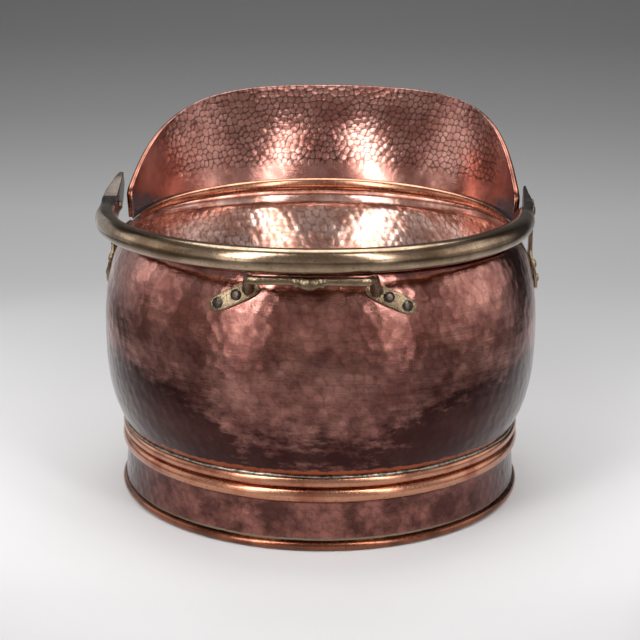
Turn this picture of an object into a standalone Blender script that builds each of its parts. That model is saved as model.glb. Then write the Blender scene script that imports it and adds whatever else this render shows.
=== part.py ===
"""Hammered copper helmet coal scuttle with a brass bail, built piece by piece.

Metres, +Z up. The pouring lip points to +Y, and the tipping handle and the
lowered bail point to -Y. The origin is on the floor, under the middle of the
object. An angle round the scuttle is counted from +Y towards +X.
"""
import math

import bmesh
import bpy
from mathutils import Matrix, Vector

# Fits shared by all pieces
GAP = 0.0003                    # clearance between pieces that touch
OVERRUN = 0.006                 # how far a cutter runs past what it cuts
TURN_STEPS = 48                 # sides of the large turned pieces
SHEET = 0.0012                  # copper sheet

# Foot: a skirt on a wired edge, with a moulding soldered over its top
FOOT_RADIUS = 0.1700            # outside of the wired edge
FOOT_WIRE_RADIUS = 0.0035
FOOT_FLAT = 0.0030              # width of the worn flat that the foot stands on
FOOT_WIRE_POINTS = 7            # on its round part
SKIRT_FOOT_RADIUS = 0.1672      # skirt just above the wire
WAIST_RADIUS = 0.1648           # skirt under the swage
SWAGE_RADIUS = 0.1689
SWAGE_BOTTOM = 0.0377
SWAGE_TOP = 0.0487
MOULDING_RADIUS = 0.1683
MOULDING_BOTTOM = 0.0500
MOULDING_TOP = 0.0584

# Body: neck inside the foot, belly, shoulder and mouth
NECK_RADIUS = 0.1628
NECK_BOTTOM = 0.0430
SEAT_RADIUS = 0.1655            # wall where it leaves the moulding
BELLY_RADIUS = 0.1803
BELLY_HEIGHT = 0.1394
MOUTH_RADIUS = 0.1600
MOUTH_HEIGHT = 0.2172           # rim at the sides and at the rear
COLLAR = 0.0050                 # upright band under the rim
SEAM_RISE = 0.0104              # how much higher the seam is at the lip's middle
LOWER_ROUNDNESS = 3.2
SHOULDER_SWEEP = 1.8
SHOULDER_ROUNDNESS = 0.55

# Floor of the drum, a dished disc
FLOOR_HEIGHT = 0.0440           # underside
FLOOR_RIM = 0.0080
FLOOR_CORNER = 0.0025

# Lip
LIP_HEIGHT = 0.0892             # above the seam, at the middle
LIP_END = math.radians(86.0)    # upright edge where the lip stops on each side
LIP_END_HEIGHT = 0.0220         # above the seam, at that edge
LIP_FADE = math.radians(90.0)
LIP_CORNER = 0.0080             # rounding of the edge's top corner
LIP_SIDE_FLARE = 0.06           # widening per unit of height
LIP_FRONT_FLARE = 0.326
LIP_FRONT_CURL = 3.685          # 1/m, how fast the flare grows with height
LIP_CROWNS = {-1: 4.3, 1: 5.9}  # how late each shoulder starts to fall, left and right
LIP_SWEEPS = {-1: 2.0, 1: 2.45} # and how fast it falls
LIP_COLUMNS = 32
LIP_ROWS = 6
LIP_END_CROWDING = 0.4          # how far its columns are drawn to the ends
EDGE_WIRE_RADIUS = 0.0023

# Half-round moulding inside the seam
SEAM_HALF_HEIGHT = 0.0060
SEAM_DEPTH = 0.0048
SEAM_END = math.radians(82.0)
SEAM_END_SHARE = 0.42           # size left at its ends
SEAM_SECTIONS = 33
SEAM_STAND_OFF = 0.0008         # from the sheet, whose turned wall has flat facets

# Bail, bent a little to the left
BAIL_RADIUS = 0.0088
BAIL_WALL = 0.0015
BAIL_HALF_WIDTH = 0.1674        # to the middle of the tube
BAIL_SHIFT = -0.0040
BAIL_REACH = 0.2135             # pivot to the middle of the tube
BAIL_STRAIGHT = 0.0200          # straight run behind the pivot
PIVOT_HEIGHT = 0.2315
BAIL_POINTS = 26
TUBE_START = 0.0440             # end of the tube, behind the pivot
SPIGOT_LENGTH = 0.0080
SPIGOT_FIT = 0.94               # spigot as a share of the bore, whose sides are flat facets

# Leaf ends of the bail, flat inside, left one wider and taller than the right
LEAF_FACES = {-1: 0.1688, 1: 0.1670}    # flat inner faces, from the middle plane
LEAF_LEANS = {-1: 0.0014, 1: 0.0032}    # how far the face leans out at the point
LEAF_WIDTHS = {-1: 0.0118, 1: 0.0066}
LEAF_RISES = {-1: 0.0245, 1: 0.0170}
LEAF_REACH = 0.0300             # from the pivot to the end
LEAF_BACK_SHARE = 0.14          # thickness of the lower edge, as a share of the width
LEAF_RECESS_RADIUS = 0.0148     # room for the ear's eye and for its neck when the bail is up
LEAF_SWELL_SHARE = 0.75         # power of the outer side's swell from lower edge to top
LEAF_BEND_SHARES = (0.0, 0.25, 0.5, 0.75)   # sections between the tube and the leaf
# Each section of the leaf: top edge along the reach and up the rise, lower edge along the
# reach, down the tube's radius and up the rise, then the width and the lean
LEAF_SECTION_SHARES = ((-0.13, 0.06, -0.13, 0.95, 0.00, 1.00, 0.00),
                       (0.10, 0.30, 0.18, 0.82, 0.00, 0.96, 0.03),
                       (0.32, 0.58, 0.42, 0.52, 0.00, 0.84, 0.18),
                       (0.54, 0.80, 0.66, 0.02, 0.00, 0.66, 0.44),
                       (0.72, 0.92, 0.86, 0.00, 0.26, 0.46, 0.74),
                       (0.86, 1.00, 1.00, 0.00, 0.58, 0.28, 1.00))

# Ears, outside the leaves
EAR_FACES = {-1: 0.1760, 1: 0.1722}     # inner faces round the eyes
EAR_THICKNESS = 0.0028
EYE_RADIUS = 0.0095
EAR_BOTTOM = 0.1660
EAR_LOBE_HALF_WIDTH = 0.0120
EAR_NECK_HALF_WIDTH = 0.0055
EAR_LOBE_HEIGHT = 0.0350
EAR_BEND = 0.1935               # where the ear leaves the wall
EAR_RIVET_SHARES = (0.25, 0.58)
EAR_LOBE_SHARES = (0.0, 0.06, 0.2, 0.35, 0.5, 0.65, 0.8, 0.94)
EAR_EYE_SHARES = (0.82, 0.6, 0.4, 0.2, 0.06, 0.0)

# Pivot pins
PIN_RADIUS = 0.0030
PIN_HEAD_RADIUS = 0.0055
PIN_HEAD_HEIGHT = 0.0016
PIN_TAIL_HEIGHT = 0.0014
PIN_TAIL_RADIUS = 0.0045

# Rivets
RIVET_RADIUS = 0.0020
RIVET_HEAD_RADIUS = 0.0042
RIVET_HEAD_HEIGHT = 0.0022      # domed, on the ears
PEENED_HEAD_HEIGHT = 0.0008     # beaten nearly flush, on the handle
RIVET_TAIL_RADIUS = 0.0034
RIVET_TAIL_HEIGHT = 0.0014
BURR_RADIUS = 0.0046
BURR_THICKNESS = 0.0010
BURR_STAND_OFF = 0.0008         # a flat burr meets the hollow wall at its rim only
RIVET_STEPS = 8

# Tipping handle
BAR_RADIUS = 0.0032
BAR_HALF_LENGTH = 0.0412
BAR_REACH = 0.2128
BAR_CORNER = 0.0060
BAR_CLEARANCE = 0.0016          # under the lowered bail
KNOP_HALF_LENGTH = 0.0080
KNOP_HALF_HEIGHT = 0.0050
KNOP_HALF_DEPTH = 0.0056
BAR_COLLAR_RADIUS = 0.0041
BAR_COLLAR_HALF_LENGTH = 0.0012
BAR_COLLAR_PLACE = 0.0090
PETAL_LENGTH = 0.0400
PETAL_WIDTH = 0.0130
PETAL_THICKNESS = 0.0028
PETAL_PLACE = 0.0560            # from the middle plane to a petal's centre
PETAL_HEIGHT = 0.1943
PETAL_SLOPE = math.radians(27.0)
PETAL_ROOT_SHARE = 0.62         # where the arm lands, as a share of half the length
PETAL_RIVET_SHARES = (-0.62, 0.12)
PETAL_SQUARENESS_SHARE = 0.62   # power of its outline: 1 is an ellipse, 0 a rectangle
ARM_KNEE_SHARE = 0.62           # place of the arm's knee on its way to the petal
ARM_DROP_SHARE = 0.34           # how much of the way down the knee leaves for the root
ARM_SWELL_SHARES = (1.45, 1.30, 1.08, 1.0, 1.0, 1.0)    # thickness from the root to the bar

COLLECTION_NAME = "coal_scuttle"
CUTTER_COLLECTION_NAME = "cutters"


def clear_scene():
    for obj in list(bpy.data.objects):
        bpy.data.objects.remove(obj, do_unlink=True)


def new_collection(name):
    collection = bpy.data.collections.new(name)
    bpy.context.scene.collection.children.link(collection)
    return collection


def metal(name, colour, roughness):
    material = bpy.data.materials.new(name)
    material.use_nodes = True
    shader = material.node_tree.nodes["Principled BSDF"]
    shader.inputs["Base Color"].default_value = (*colour, 1.0)
    shader.inputs["Roughness"].default_value = roughness
    shader.inputs["Metallic"].default_value = 1.0
    return material


clear_scene()
PARTS = new_collection(COLLECTION_NAME)
CUTTERS = new_collection(CUTTER_COLLECTION_NAME)
DARK_COPPER = metal("dark_copper", (0.30, 0.11, 0.07), 0.28)
BRIGHT_COPPER = metal("bright_copper", (0.62, 0.25, 0.13), 0.24)
PINK_COPPER = metal("pink_copper", (0.60, 0.28, 0.20), 0.26)
BRASS = metal("aged_brass", (0.42, 0.34, 0.18), 0.25)


def place(obj, material):
    obj.data.materials.clear()
    obj.data.materials.append(material)
    PARTS.objects.link(obj)
    return obj


def mesh_object(name, bm, material):
    mesh = bpy.data.meshes.new(name)
    bm.to_mesh(mesh)
    bm.free()
    mesh.shade_smooth()
    mesh.set_sharp_from_angle(angle=math.radians(35.0))
    return place(bpy.data.objects.new(name, mesh), material)


def as_cutter(obj):
    for collection in list(obj.users_collection):
        collection.objects.unlink(obj)
    CUTTERS.objects.link(obj)
    obj.hide_render = True
    obj.display_type = "WIRE"
    return obj


def boolean(obj, other, operation="DIFFERENCE"):
    modifier = obj.modifiers.new(operation.lower(), "BOOLEAN")
    modifier.operation = operation
    modifier.solver = "EXACT"
    modifier.object = other
    return modifier


def turned(name, outline, material, closed=False, wall=0.0, steps=TURN_STEPS):
    """A profile of (radius, height) pairs, outside first from top to bottom, turned round Z."""
    mesh = bpy.data.meshes.new(name)
    count = len(outline)
    edges = [(i, i + 1) for i in range(count - 1)]
    if closed:
        edges.append((count - 1, 0))
    mesh.from_pydata([(radius, 0.0, height) for radius, height in outline], edges, [])
    obj = place(bpy.data.objects.new(name, mesh), material)
    screw = obj.modifiers.new("turn", "SCREW")
    screw.axis = "Z"
    screw.steps = steps
    screw.render_steps = steps
    screw.use_merge_vertices = True
    screw.merge_threshold = 0.00005
    screw.use_smooth_shade = True
    if wall:
        solidify = obj.modifiers.new("sheet", "SOLIDIFY")
        solidify.thickness = wall
        solidify.offset = -1.0
        solidify.use_even_offset = True
    return obj


def tube_curve(name, points, radius, resolution, radii=None, caps=True):
    """A round bar along a list of points, as a curve object."""
    curve = bpy.data.curves.new(name, "CURVE")
    curve.dimensions = "3D"
    curve.bevel_depth = radius
    curve.bevel_resolution = resolution
    curve.use_fill_caps = caps
    spline = curve.splines.new("POLY")
    spline.points.add(len(points) - 1)
    for index, point in enumerate(points):
        spline.points[index].co = (*point, 1.0)
        spline.points[index].radius = radii[index] if radii else 1.0
    return bpy.data.objects.new(name, curve)


def tube_mesh(name, points, radius, resolution, material, radii=None, caps=True):
    """The same bar turned into a welded mesh object."""
    guide = tube_curve(name + "_guide", points, radius, resolution, radii, caps)
    PARTS.objects.link(guide)
    graph = bpy.context.evaluated_depsgraph_get()
    mesh = bpy.data.meshes.new_from_object(guide.evaluated_get(graph))
    bpy.data.objects.remove(guide, do_unlink=True)
    bm = bmesh.new()
    bm.from_mesh(mesh)
    bpy.data.meshes.remove(mesh)
    bmesh.ops.remove_doubles(bm, verts=bm.verts, dist=GAP / 10.0)
    bmesh.ops.recalc_face_normals(bm, faces=bm.faces)
    return mesh_object(name, bm, material)


def loft(name, rings, material):
    """A closed solid through rings of points, all with the same count."""
    bm = bmesh.new()
    loops = [[bm.verts.new(point) for point in ring] for ring in rings]
    for first, second in zip(loops, loops[1:]):
        for i in range(len(first)):
            j = (i + 1) % len(first)
            bm.faces.new((first[i], first[j], second[j], second[i]))
    bm.faces.new(loops[0])
    bm.faces.new(reversed(loops[-1]))
    bmesh.ops.recalc_face_normals(bm, faces=bm.faces)
    return mesh_object(name, bm, material)


def spun(name, outline, matrix, material, ring=False, steps=RIVET_STEPS):
    """A small turned solid. The outline's (radius, height) pairs start and end on
    the axis, or go round a hole if ring is set."""
    bm = bmesh.new()
    verts = [bm.verts.new((radius, 0.0, height)) for radius, height in outline]
    edges = [bm.edges.new(pair) for pair in zip(verts, verts[1:])]
    if ring:
        edges.append(bm.edges.new((verts[-1], verts[0])))
    bmesh.ops.spin(bm, geom=verts + edges, axis=(0, 0, 1), cent=(0, 0, 0),
                   angle=math.tau, steps=steps, use_merge=True)
    bmesh.ops.remove_doubles(bm, verts=bm.verts, dist=GAP / 10.0)
    bmesh.ops.transform(bm, matrix=matrix, verts=bm.verts)
    bmesh.ops.recalc_face_normals(bm, faces=bm.faces)
    return mesh_object(name, bm, material)


def axis_matrix(origin, direction):
    """A frame whose Z runs along a direction."""
    turn = Vector(direction).to_track_quat("Z", "Y").to_matrix().to_4x4()
    return Matrix.Translation(origin) @ turn


def hole_cutter(name, origin, direction, radius, reach, steps=RIVET_STEPS):
    outline = [(0.0, reach), (radius, reach), (radius, -reach), (0.0, -reach)]
    return as_cutter(spun(name, outline, axis_matrix(origin, direction), BRASS, steps=steps))


def wall_radius(height):
    """Outside radius of the drum at a height over the moulding."""
    shoulder_top = MOUTH_HEIGHT - COLLAR
    if height <= BELLY_HEIGHT:
        t = (height - MOULDING_TOP) / (BELLY_HEIGHT - MOULDING_TOP)
        share = 1.0 - (1.0 - max(t, 0.0)) ** LOWER_ROUNDNESS
        return SEAT_RADIUS + (BELLY_RADIUS - SEAT_RADIUS) * share
    t = min((height - BELLY_HEIGHT) / (shoulder_top - BELLY_HEIGHT), 1.0)
    share = 1.0 - (1.0 - t ** SHOULDER_SWEEP) ** SHOULDER_ROUNDNESS
    return BELLY_RADIUS - (BELLY_RADIUS - MOUTH_RADIUS) * share


def wall_point(angle, height):
    radius = wall_radius(height)
    return Vector((radius * math.sin(angle), radius * math.cos(angle), height))


def wall_normal(angle, height):
    step = SHEET
    slope = (wall_radius(height + step) - wall_radius(height - step)) / (2.0 * step)
    return Vector((math.sin(angle), math.cos(angle), -slope)).normalized()


# Heights at which the drum's outline bends, as shares of each stretch
LOWER_SHARES = (0.0, 0.07, 0.17, 0.30, 0.46, 0.70, 1.0)
SHOULDER_SHARES = (0.28, 0.50, 0.68, 0.82, 0.91, 0.965, 1.0)


def drum_outline(top):
    """Outside of the drum from the top down to the neck inside the foot."""
    shoulder_top = MOUTH_HEIGHT - COLLAR
    rising = [MOULDING_TOP + share * (BELLY_HEIGHT - MOULDING_TOP) for share in LOWER_SHARES]
    rising += [BELLY_HEIGHT + share * (shoulder_top - BELLY_HEIGHT) for share in SHOULDER_SHARES]
    outline = [(MOUTH_RADIUS, top)]
    outline += [(wall_radius(height), height) for height in reversed(rising)]
    outline.append((NECK_RADIUS, MOULDING_TOP - 2.0 * SHEET))
    outline.append((NECK_RADIUS, NECK_BOTTOM))
    return outline


def drum_envelope(name, clearance):
    """A solid plug with the drum's outside, grown by a clearance."""
    outline = [(radius + clearance, height) for radius, height in drum_outline(MOUTH_HEIGHT)]
    outline = [(0.0, MOUTH_HEIGHT)] + outline + [(0.0, NECK_BOTTOM)]
    return as_cutter(turned(name, outline, PINK_COPPER))


def seam_height(angle):
    """Height of the joint between drum and lip: level at the rear, rising to the front."""
    return MOUTH_HEIGHT + SEAM_RISE * max(0.0, math.cos(angle))


def lip_point(angle, height):
    """A point on the outside of the lip, whose level sections are ovals."""
    rise = max(0.0, height - seam_height(angle))
    across = MOUTH_RADIUS + LIP_SIDE_FLARE * rise
    along = MOUTH_RADIUS + LIP_FRONT_FLARE * rise + LIP_FRONT_CURL * rise ** 2
    return Vector((across * math.sin(angle), along * math.cos(angle), height))


def lip_top(angle):
    """Height of the lip's rim, with a quarter round at each end."""
    side = -1 if angle < 0.0 else 1
    crown = (1.0 - abs(angle / LIP_FADE) ** LIP_CROWNS[side]) ** LIP_SWEEPS[side]
    from_end = (LIP_END - abs(angle)) * MOUTH_RADIUS
    cut = max(0.0, LIP_CORNER - from_end)
    drop = LIP_CORNER - math.sqrt(LIP_CORNER ** 2 - cut ** 2)
    return seam_height(angle) + LIP_END_HEIGHT + (LIP_HEIGHT - LIP_END_HEIGHT) * crown - drop


def lip_column(share):
    """Angle of a column of the lip, for a share from -1 to 1."""
    even = 1.0 - LIP_END_CROWDING
    return LIP_END * (even * share + LIP_END_CROWDING * math.sin(share * math.pi / 2.0))


def lip_normal(angle, height):
    step = SHEET
    turn = step / MOUTH_RADIUS
    along = lip_point(angle + turn, height) - lip_point(angle - turn, height)
    upwards = lip_point(angle, height) - lip_point(angle, height - step)
    return upwards.cross(along).normalized()


def rivet_sites_on_petal(side):
    """Angle and height of the petal's rivets on the drum."""
    sites = []
    for share in PETAL_RIVET_SHARES:
        run = -share * PETAL_LENGTH / 2.0
        across = PETAL_PLACE + run * math.cos(PETAL_SLOPE)
        height = PETAL_HEIGHT - run * math.sin(PETAL_SLOPE)
        angle = math.pi - side * math.asin(across / wall_radius(height))
        sites.append((angle, height))
    return sites


def ear_inner_face(height, side):
    """How far out the ear's back is: on the wall, then away from it up to the eye."""
    if height <= EAR_BEND:
        return wall_radius(height) + GAP
    eye_bottom = PIVOT_HEIGHT - EYE_RADIUS
    share = min((height - EAR_BEND) / (eye_bottom - EAR_BEND), 1.0)
    bend_face = wall_radius(EAR_BEND) + GAP
    return bend_face + (EAR_FACES[side] - bend_face) * share


def rivet_outline(grip, dome):
    """Domed head, shank and peened tail, measured from the drum's outside along the axis."""
    head = grip + GAP
    tail = -(SHEET + BURR_STAND_OFF + BURR_THICKNESS + GAP)
    outline = [(0.0, head + dome)]
    for share in (0.38, 0.72):
        bend = share * math.pi / 2.0
        outline.append((RIVET_HEAD_RADIUS * math.sin(bend), head + dome * math.cos(bend)))
    outline += [(RIVET_HEAD_RADIUS, head), (RIVET_RADIUS, head), (RIVET_RADIUS, tail)]
    outline += [(RIVET_TAIL_RADIUS, tail), (RIVET_RADIUS, tail - RIVET_TAIL_HEIGHT)]
    outline.append((0.0, tail - RIVET_TAIL_HEIGHT))
    return outline


def burr_outline():
    """Washer under the peened tail, inside the drum."""
    top = -(SHEET + BURR_STAND_OFF)
    inner = RIVET_RADIUS + GAP
    return [(BURR_RADIUS, top), (BURR_RADIUS, top - BURR_THICKNESS), (inner, top - BURR_THICKNESS), (inner, top)]


def make_body_shell():
    top = MOUTH_HEIGHT + SEAM_RISE + OVERRUN
    shell = turned("body_shell", drum_outline(top), DARK_COPPER, wall=SHEET)
    slope = SEAM_RISE / MOUTH_RADIUS
    reach = BELLY_RADIUS
    profile = [(-reach, MOUTH_HEIGHT), (0.0, MOUTH_HEIGHT), (reach, MOUTH_HEIGHT + slope * reach),
               (reach, top + OVERRUN), (-reach, top + OVERRUN)]
    rings = [[(x, y, z) for y, z in profile] for x in (-reach, reach)]
    boolean(shell, as_cutter(loft("mouth_cutter", rings, BRASS)))
    return shell


def make_floor():
    outside = NECK_RADIUS - SHEET - GAP
    outline = [(outside, FLOOR_HEIGHT + FLOOR_RIM), (outside, FLOOR_HEIGHT + FLOOR_CORNER),
               (outside - FLOOR_CORNER, FLOOR_HEIGHT), (0.0, FLOOR_HEIGHT)]
    return turned("bottom_plate", outline, PINK_COPPER, wall=SHEET)


def half_round(bottom, top, root, crest, count):
    """Points of a swage from its top to its bottom."""
    middle = (bottom + top) / 2.0
    points = []
    for i in range(1, count):
        bend = math.pi * i / count
        points.append((root + (crest - root) * math.sin(bend), middle + (top - bottom) / 2.0 * math.cos(bend)))
    return points


def make_foot_skirt():
    outline = [(WAIST_RADIUS, MOULDING_BOTTOM - GAP), (WAIST_RADIUS, SWAGE_TOP)]
    outline += half_round(SWAGE_BOTTOM, SWAGE_TOP, WAIST_RADIUS, SWAGE_RADIUS, 6)
    outline += [(WAIST_RADIUS, SWAGE_BOTTOM), (SKIRT_FOOT_RADIUS, 2.0 * FOOT_WIRE_RADIUS + GAP)]
    return turned("foot_skirt", outline, DARK_COPPER, wall=SHEET)


def make_foot_moulding():
    inner = NECK_RADIUS + GAP
    outline = [(inner, MOULDING_TOP - 3.0 * SHEET)]
    outline += half_round(MOULDING_BOTTOM, MOULDING_TOP - 2.0 * GAP, SEAT_RADIUS, MOULDING_RADIUS, 6)
    outline += [(inner, MOULDING_BOTTOM)]
    return turned("foot_moulding", outline, BRIGHT_COPPER, closed=True)


def make_foot_wire():
    middle = FOOT_RADIUS - FOOT_WIRE_RADIUS
    outline = [(middle + FOOT_FLAT / 2.0, 0.0), (middle - FOOT_FLAT / 2.0, 0.0)]
    for i in range(FOOT_WIRE_POINTS):
        bend = math.radians(210.0 - 240.0 * i / (FOOT_WIRE_POINTS - 1))
        outline.append((middle + FOOT_WIRE_RADIUS * math.cos(bend),
                        FOOT_WIRE_RADIUS + FOOT_WIRE_RADIUS * math.sin(bend)))
    return turned("foot_wire", outline, BRIGHT_COPPER, closed=True)


def make_mouth_wire():
    """Rolled edge round the rear half of the mouth."""
    radius = MOUTH_RADIUS + GAP + EDGE_WIRE_RADIUS
    height = MOUTH_HEIGHT - EDGE_WIRE_RADIUS
    start = LIP_END + GAP / MOUTH_RADIUS
    count = 32
    points = []
    for i in range(count + 1):
        angle = start + (math.tau - 2.0 * start) * i / count
        points.append((radius * math.sin(angle), radius * math.cos(angle), height))
    return tube_mesh("mouth_wire", points, EDGE_WIRE_RADIUS, 2, BRIGHT_COPPER)


def make_lip():
    bm = bmesh.new()
    bmesh.ops.create_grid(bm, x_segments=LIP_COLUMNS, y_segments=LIP_ROWS, size=1.0)
    for vert in bm.verts:
        angle = lip_column(vert.co.x)
        share = (vert.co.y + 1.0) / 2.0
        bottom = seam_height(angle) + GAP
        vert.co = lip_point(angle, bottom + share * (lip_top(angle) - bottom))
    bmesh.ops.reverse_faces(bm, faces=bm.faces)
    lip = mesh_object("lip_sheet", bm, PINK_COPPER)
    solidify = lip.modifiers.new("sheet", "SOLIDIFY")
    solidify.thickness = SHEET
    solidify.offset = -1.0
    solidify.use_even_offset = True
    return lip


def make_lip_wire():
    """Rolled edge round the outside of the lip, up one end, along the rim and down."""
    inset = EDGE_WIRE_RADIUS / MOUTH_RADIUS
    route = [(LIP_END - inset, MOUTH_HEIGHT + EDGE_WIRE_RADIUS)]
    for i in range(2 * LIP_COLUMNS + 1):
        angle = lip_column(1.0 - i / LIP_COLUMNS)
        held = max(inset - LIP_END, min(angle, LIP_END - inset))
        route.append((held, lip_top(angle) - EDGE_WIRE_RADIUS))
    route.append((inset - LIP_END, MOUTH_HEIGHT + EDGE_WIRE_RADIUS))
    points = []
    for angle, height in route:
        points.append(lip_point(angle, height) + lip_normal(angle, height) * (EDGE_WIRE_RADIUS + GAP))
    return tube_mesh("lip_edge_wire", points, EDGE_WIRE_RADIUS, 2, BRIGHT_COPPER)


def seam_section(angle):
    """A D section whose back follows the drum's collar and then the lip."""
    size = 1.0 - (1.0 - SEAM_END_SHARE) * abs(angle / SEAM_END) ** 2.0
    half = SEAM_HALF_HEIGHT * size
    middle = seam_height(angle)
    inside = SHEET + SEAM_STAND_OFF
    out = Vector((math.sin(angle), math.cos(angle), 0.0))
    root = out * (MOUTH_RADIUS - inside)
    top = lip_point(angle, middle + half) - lip_normal(angle, middle + half) * inside
    front = [top]
    for i in range(1, 5):
        bend = math.pi / 2.0 - math.pi * i / 5.0
        edge = root + Vector((0.0, 0.0, middle + half * math.sin(bend)))
        if bend > 0.0:
            edge = edge + (top - root - Vector((0.0, 0.0, middle + half))) * math.sin(bend)
        front.append(edge - out * SEAM_DEPTH * size * math.cos(bend))
    front.append(root + Vector((0.0, 0.0, middle - half)))
    front.append(root + Vector((0.0, 0.0, middle)))
    return front


def make_seam_moulding():
    rings = []
    for i in range(SEAM_SECTIONS):
        rings.append(seam_section(SEAM_END * (2.0 * i / (SEAM_SECTIONS - 1) - 1.0)))
    return loft("seam_moulding", rings, BRIGHT_COPPER)


def bail_path():
    """Middle line of the tube, lying level behind the pivots."""
    arch = BAIL_REACH - BAIL_STRAIGHT
    first = math.asin((TUBE_START - BAIL_STRAIGHT) / arch)
    points = []
    for i in range(BAIL_POINTS + 1):
        bend = first + (math.pi - 2.0 * first) * i / BAIL_POINTS
        x = BAIL_SHIFT - BAIL_HALF_WIDTH * math.cos(bend)
        points.append(Vector((x, -BAIL_STRAIGHT - arch * math.sin(bend), PIVOT_HEIGHT)))
    return points


def tube_end(side):
    """Start of the tube's middle line on one side, and its direction there, to the pivot."""
    path = bail_path()
    if side > 0:
        path.reverse()
    return path[0], (path[0] - path[1]).normalized()


def make_bail_tube(pivot):
    """Open brass tube; its origin is on the pivots' axis."""
    tube = tube_mesh("bail_tube", bail_path(), BAIL_RADIUS, 4, BRASS, caps=False)
    solidify = tube.modifiers.new("tube_wall", "SOLIDIFY")
    solidify.thickness = BAIL_WALL
    solidify.offset = -1.0
    solidify.use_even_offset = True
    return hang(tube, pivot)


def hang(obj, pivot):
    """Parents a piece to the pivot empty without moving it."""
    obj.parent = pivot
    obj.matrix_parent_inverse = pivot.matrix_world.inverted()
    return obj


LEAF_INNER_POINTS = 4           # ring points down the flat inner face
LEAF_OUTER_POINTS = 7           # and up the swelling outer side; one more halves the top


def leaf_ring_shares():
    """Each ring point's place across the leaf and up it, from the top of the inner face."""
    places = [(0.0, 1.0 - i / (LEAF_INNER_POINTS - 1)) for i in range(LEAF_INNER_POINTS)]
    for i in range(LEAF_OUTER_POINTS):
        up = i / (LEAF_OUTER_POINTS - 1)
        places.append((LEAF_BACK_SHARE + (1.0 - LEAF_BACK_SHARE) * up ** LEAF_SWELL_SHARE, up))
    return places + [(0.5, 1.0)]


def leaf_ring(side, shares):
    """One section of the leaf, from the row of shares that places it."""
    top_reach, top_rise, back_reach, back_drop, back_rise, width, lean = shares
    shoulder = LEAF_SECTION_SHARES[0][3] * BAIL_RADIUS
    top = (top_reach * LEAF_REACH, shoulder + top_rise * (LEAF_RISES[side] - shoulder))
    back = (back_reach * LEAF_REACH, back_rise * LEAF_RISES[side] - back_drop * BAIL_RADIUS)
    ring = []
    for across, up in leaf_ring_shares():
        x = LEAF_FACES[side] + lean * LEAF_LEANS[side] + width * LEAF_WIDTHS[side] * across
        y = back[0] + (top[0] - back[0]) * up
        z = back[1] + (top[1] - back[1]) * up
        ring.append(Vector((side * x, y, PIVOT_HEIGHT + z)))
    return ring


def round_ring(side, centre, out, radius):
    """A circle square to the tube, whose points match those of a leaf ring."""
    count = LEAF_INNER_POINTS + LEAF_OUTER_POINTS + 1
    ring = []
    for i in range(count):
        bend = math.tau * (3.0 / 8.0 + i / count)
        ring.append(centre + (out * math.cos(bend) + Vector((0.0, 0.0, math.sin(bend)))) * radius)
    return ring


def leaf_rings(side):
    """Spigot in the tube, round shoulder, and sections that flatten into the leaf."""
    start, along = tube_end(side)
    out = along.cross(Vector((0.0, 0.0, side)))
    spigot_radius = SPIGOT_FIT * (BAIL_RADIUS - BAIL_WALL) - GAP
    shoulder = start + along * GAP
    first_leaf = leaf_ring(side, LEAF_SECTION_SHARES[0])
    leaf_middle = Vector((side * BAIL_HALF_WIDTH + BAIL_SHIFT, first_leaf[0].y, PIVOT_HEIGHT))
    rings = [round_ring(side, start - along * SPIGOT_LENGTH, out, spigot_radius),
             round_ring(side, shoulder, out, spigot_radius)]
    for share in LEAF_BEND_SHARES:
        centre = shoulder.lerp(leaf_middle, share)
        facing = out.lerp(Vector((side, 0.0, 0.0)), share).normalized()
        flat = math.sin(share * math.pi / 2.0)
        ring = []
        for circle_point, leaf_point in zip(round_ring(side, centre, facing, BAIL_RADIUS), first_leaf):
            level_point = Vector((leaf_point.x + centre.x - leaf_middle.x, centre.y, leaf_point.z))
            ring.append(circle_point.lerp(level_point, flat))
        rings.append(ring)
    return rings + [leaf_ring(side, shares) for shares in LEAF_SECTION_SHARES]


def make_leaf(name, side, pivot):
    """Cast end of the bail: a loft from the tube into the flat-sided leaf."""
    leaf = loft(name, leaf_rings(side), BRASS)
    if EAR_FACES[side] - GAP < LEAF_FACES[side] + LEAF_WIDTHS[side]:
        place_of_recess = pivot_place(side) + Vector((side * (OVERRUN - GAP), 0.0, 0.0))
        recess = hole_cutter(name + "_recess", place_of_recess, (1, 0, 0), LEAF_RECESS_RADIUS, OVERRUN,
                             TURN_STEPS // 2)
        boolean(leaf, recess)
    boolean(leaf, hole_cutter(name + "_bore", pivot_place(side), (1, 0, 0), PIN_RADIUS + GAP, 2.0 * OVERRUN))
    return hang(leaf, pivot)


def pivot_place(side):
    """On the hinge's axis, at the inner face of the ear."""
    return Vector((side * EAR_FACES[side], 0.0, PIVOT_HEIGHT))


def make_pin(name, side):
    """Pivot pin through the ear's eye and the leaf, domed outside and peened inside."""
    head = EAR_THICKNESS + GAP
    tail = LEAF_FACES[side] - EAR_FACES[side] - GAP
    outline = [(0.0, head + PIN_HEAD_HEIGHT), (0.6 * PIN_HEAD_RADIUS, head + 0.8 * PIN_HEAD_HEIGHT),
               (PIN_HEAD_RADIUS, head), (PIN_RADIUS, head), (PIN_RADIUS, tail),
               (PIN_TAIL_RADIUS, tail), (PIN_RADIUS, tail - PIN_TAIL_HEIGHT), (0.0, tail - PIN_TAIL_HEIGHT)]
    return spun(name, outline, axis_matrix(pivot_place(side), (side, 0, 0)), BRASS)


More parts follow.
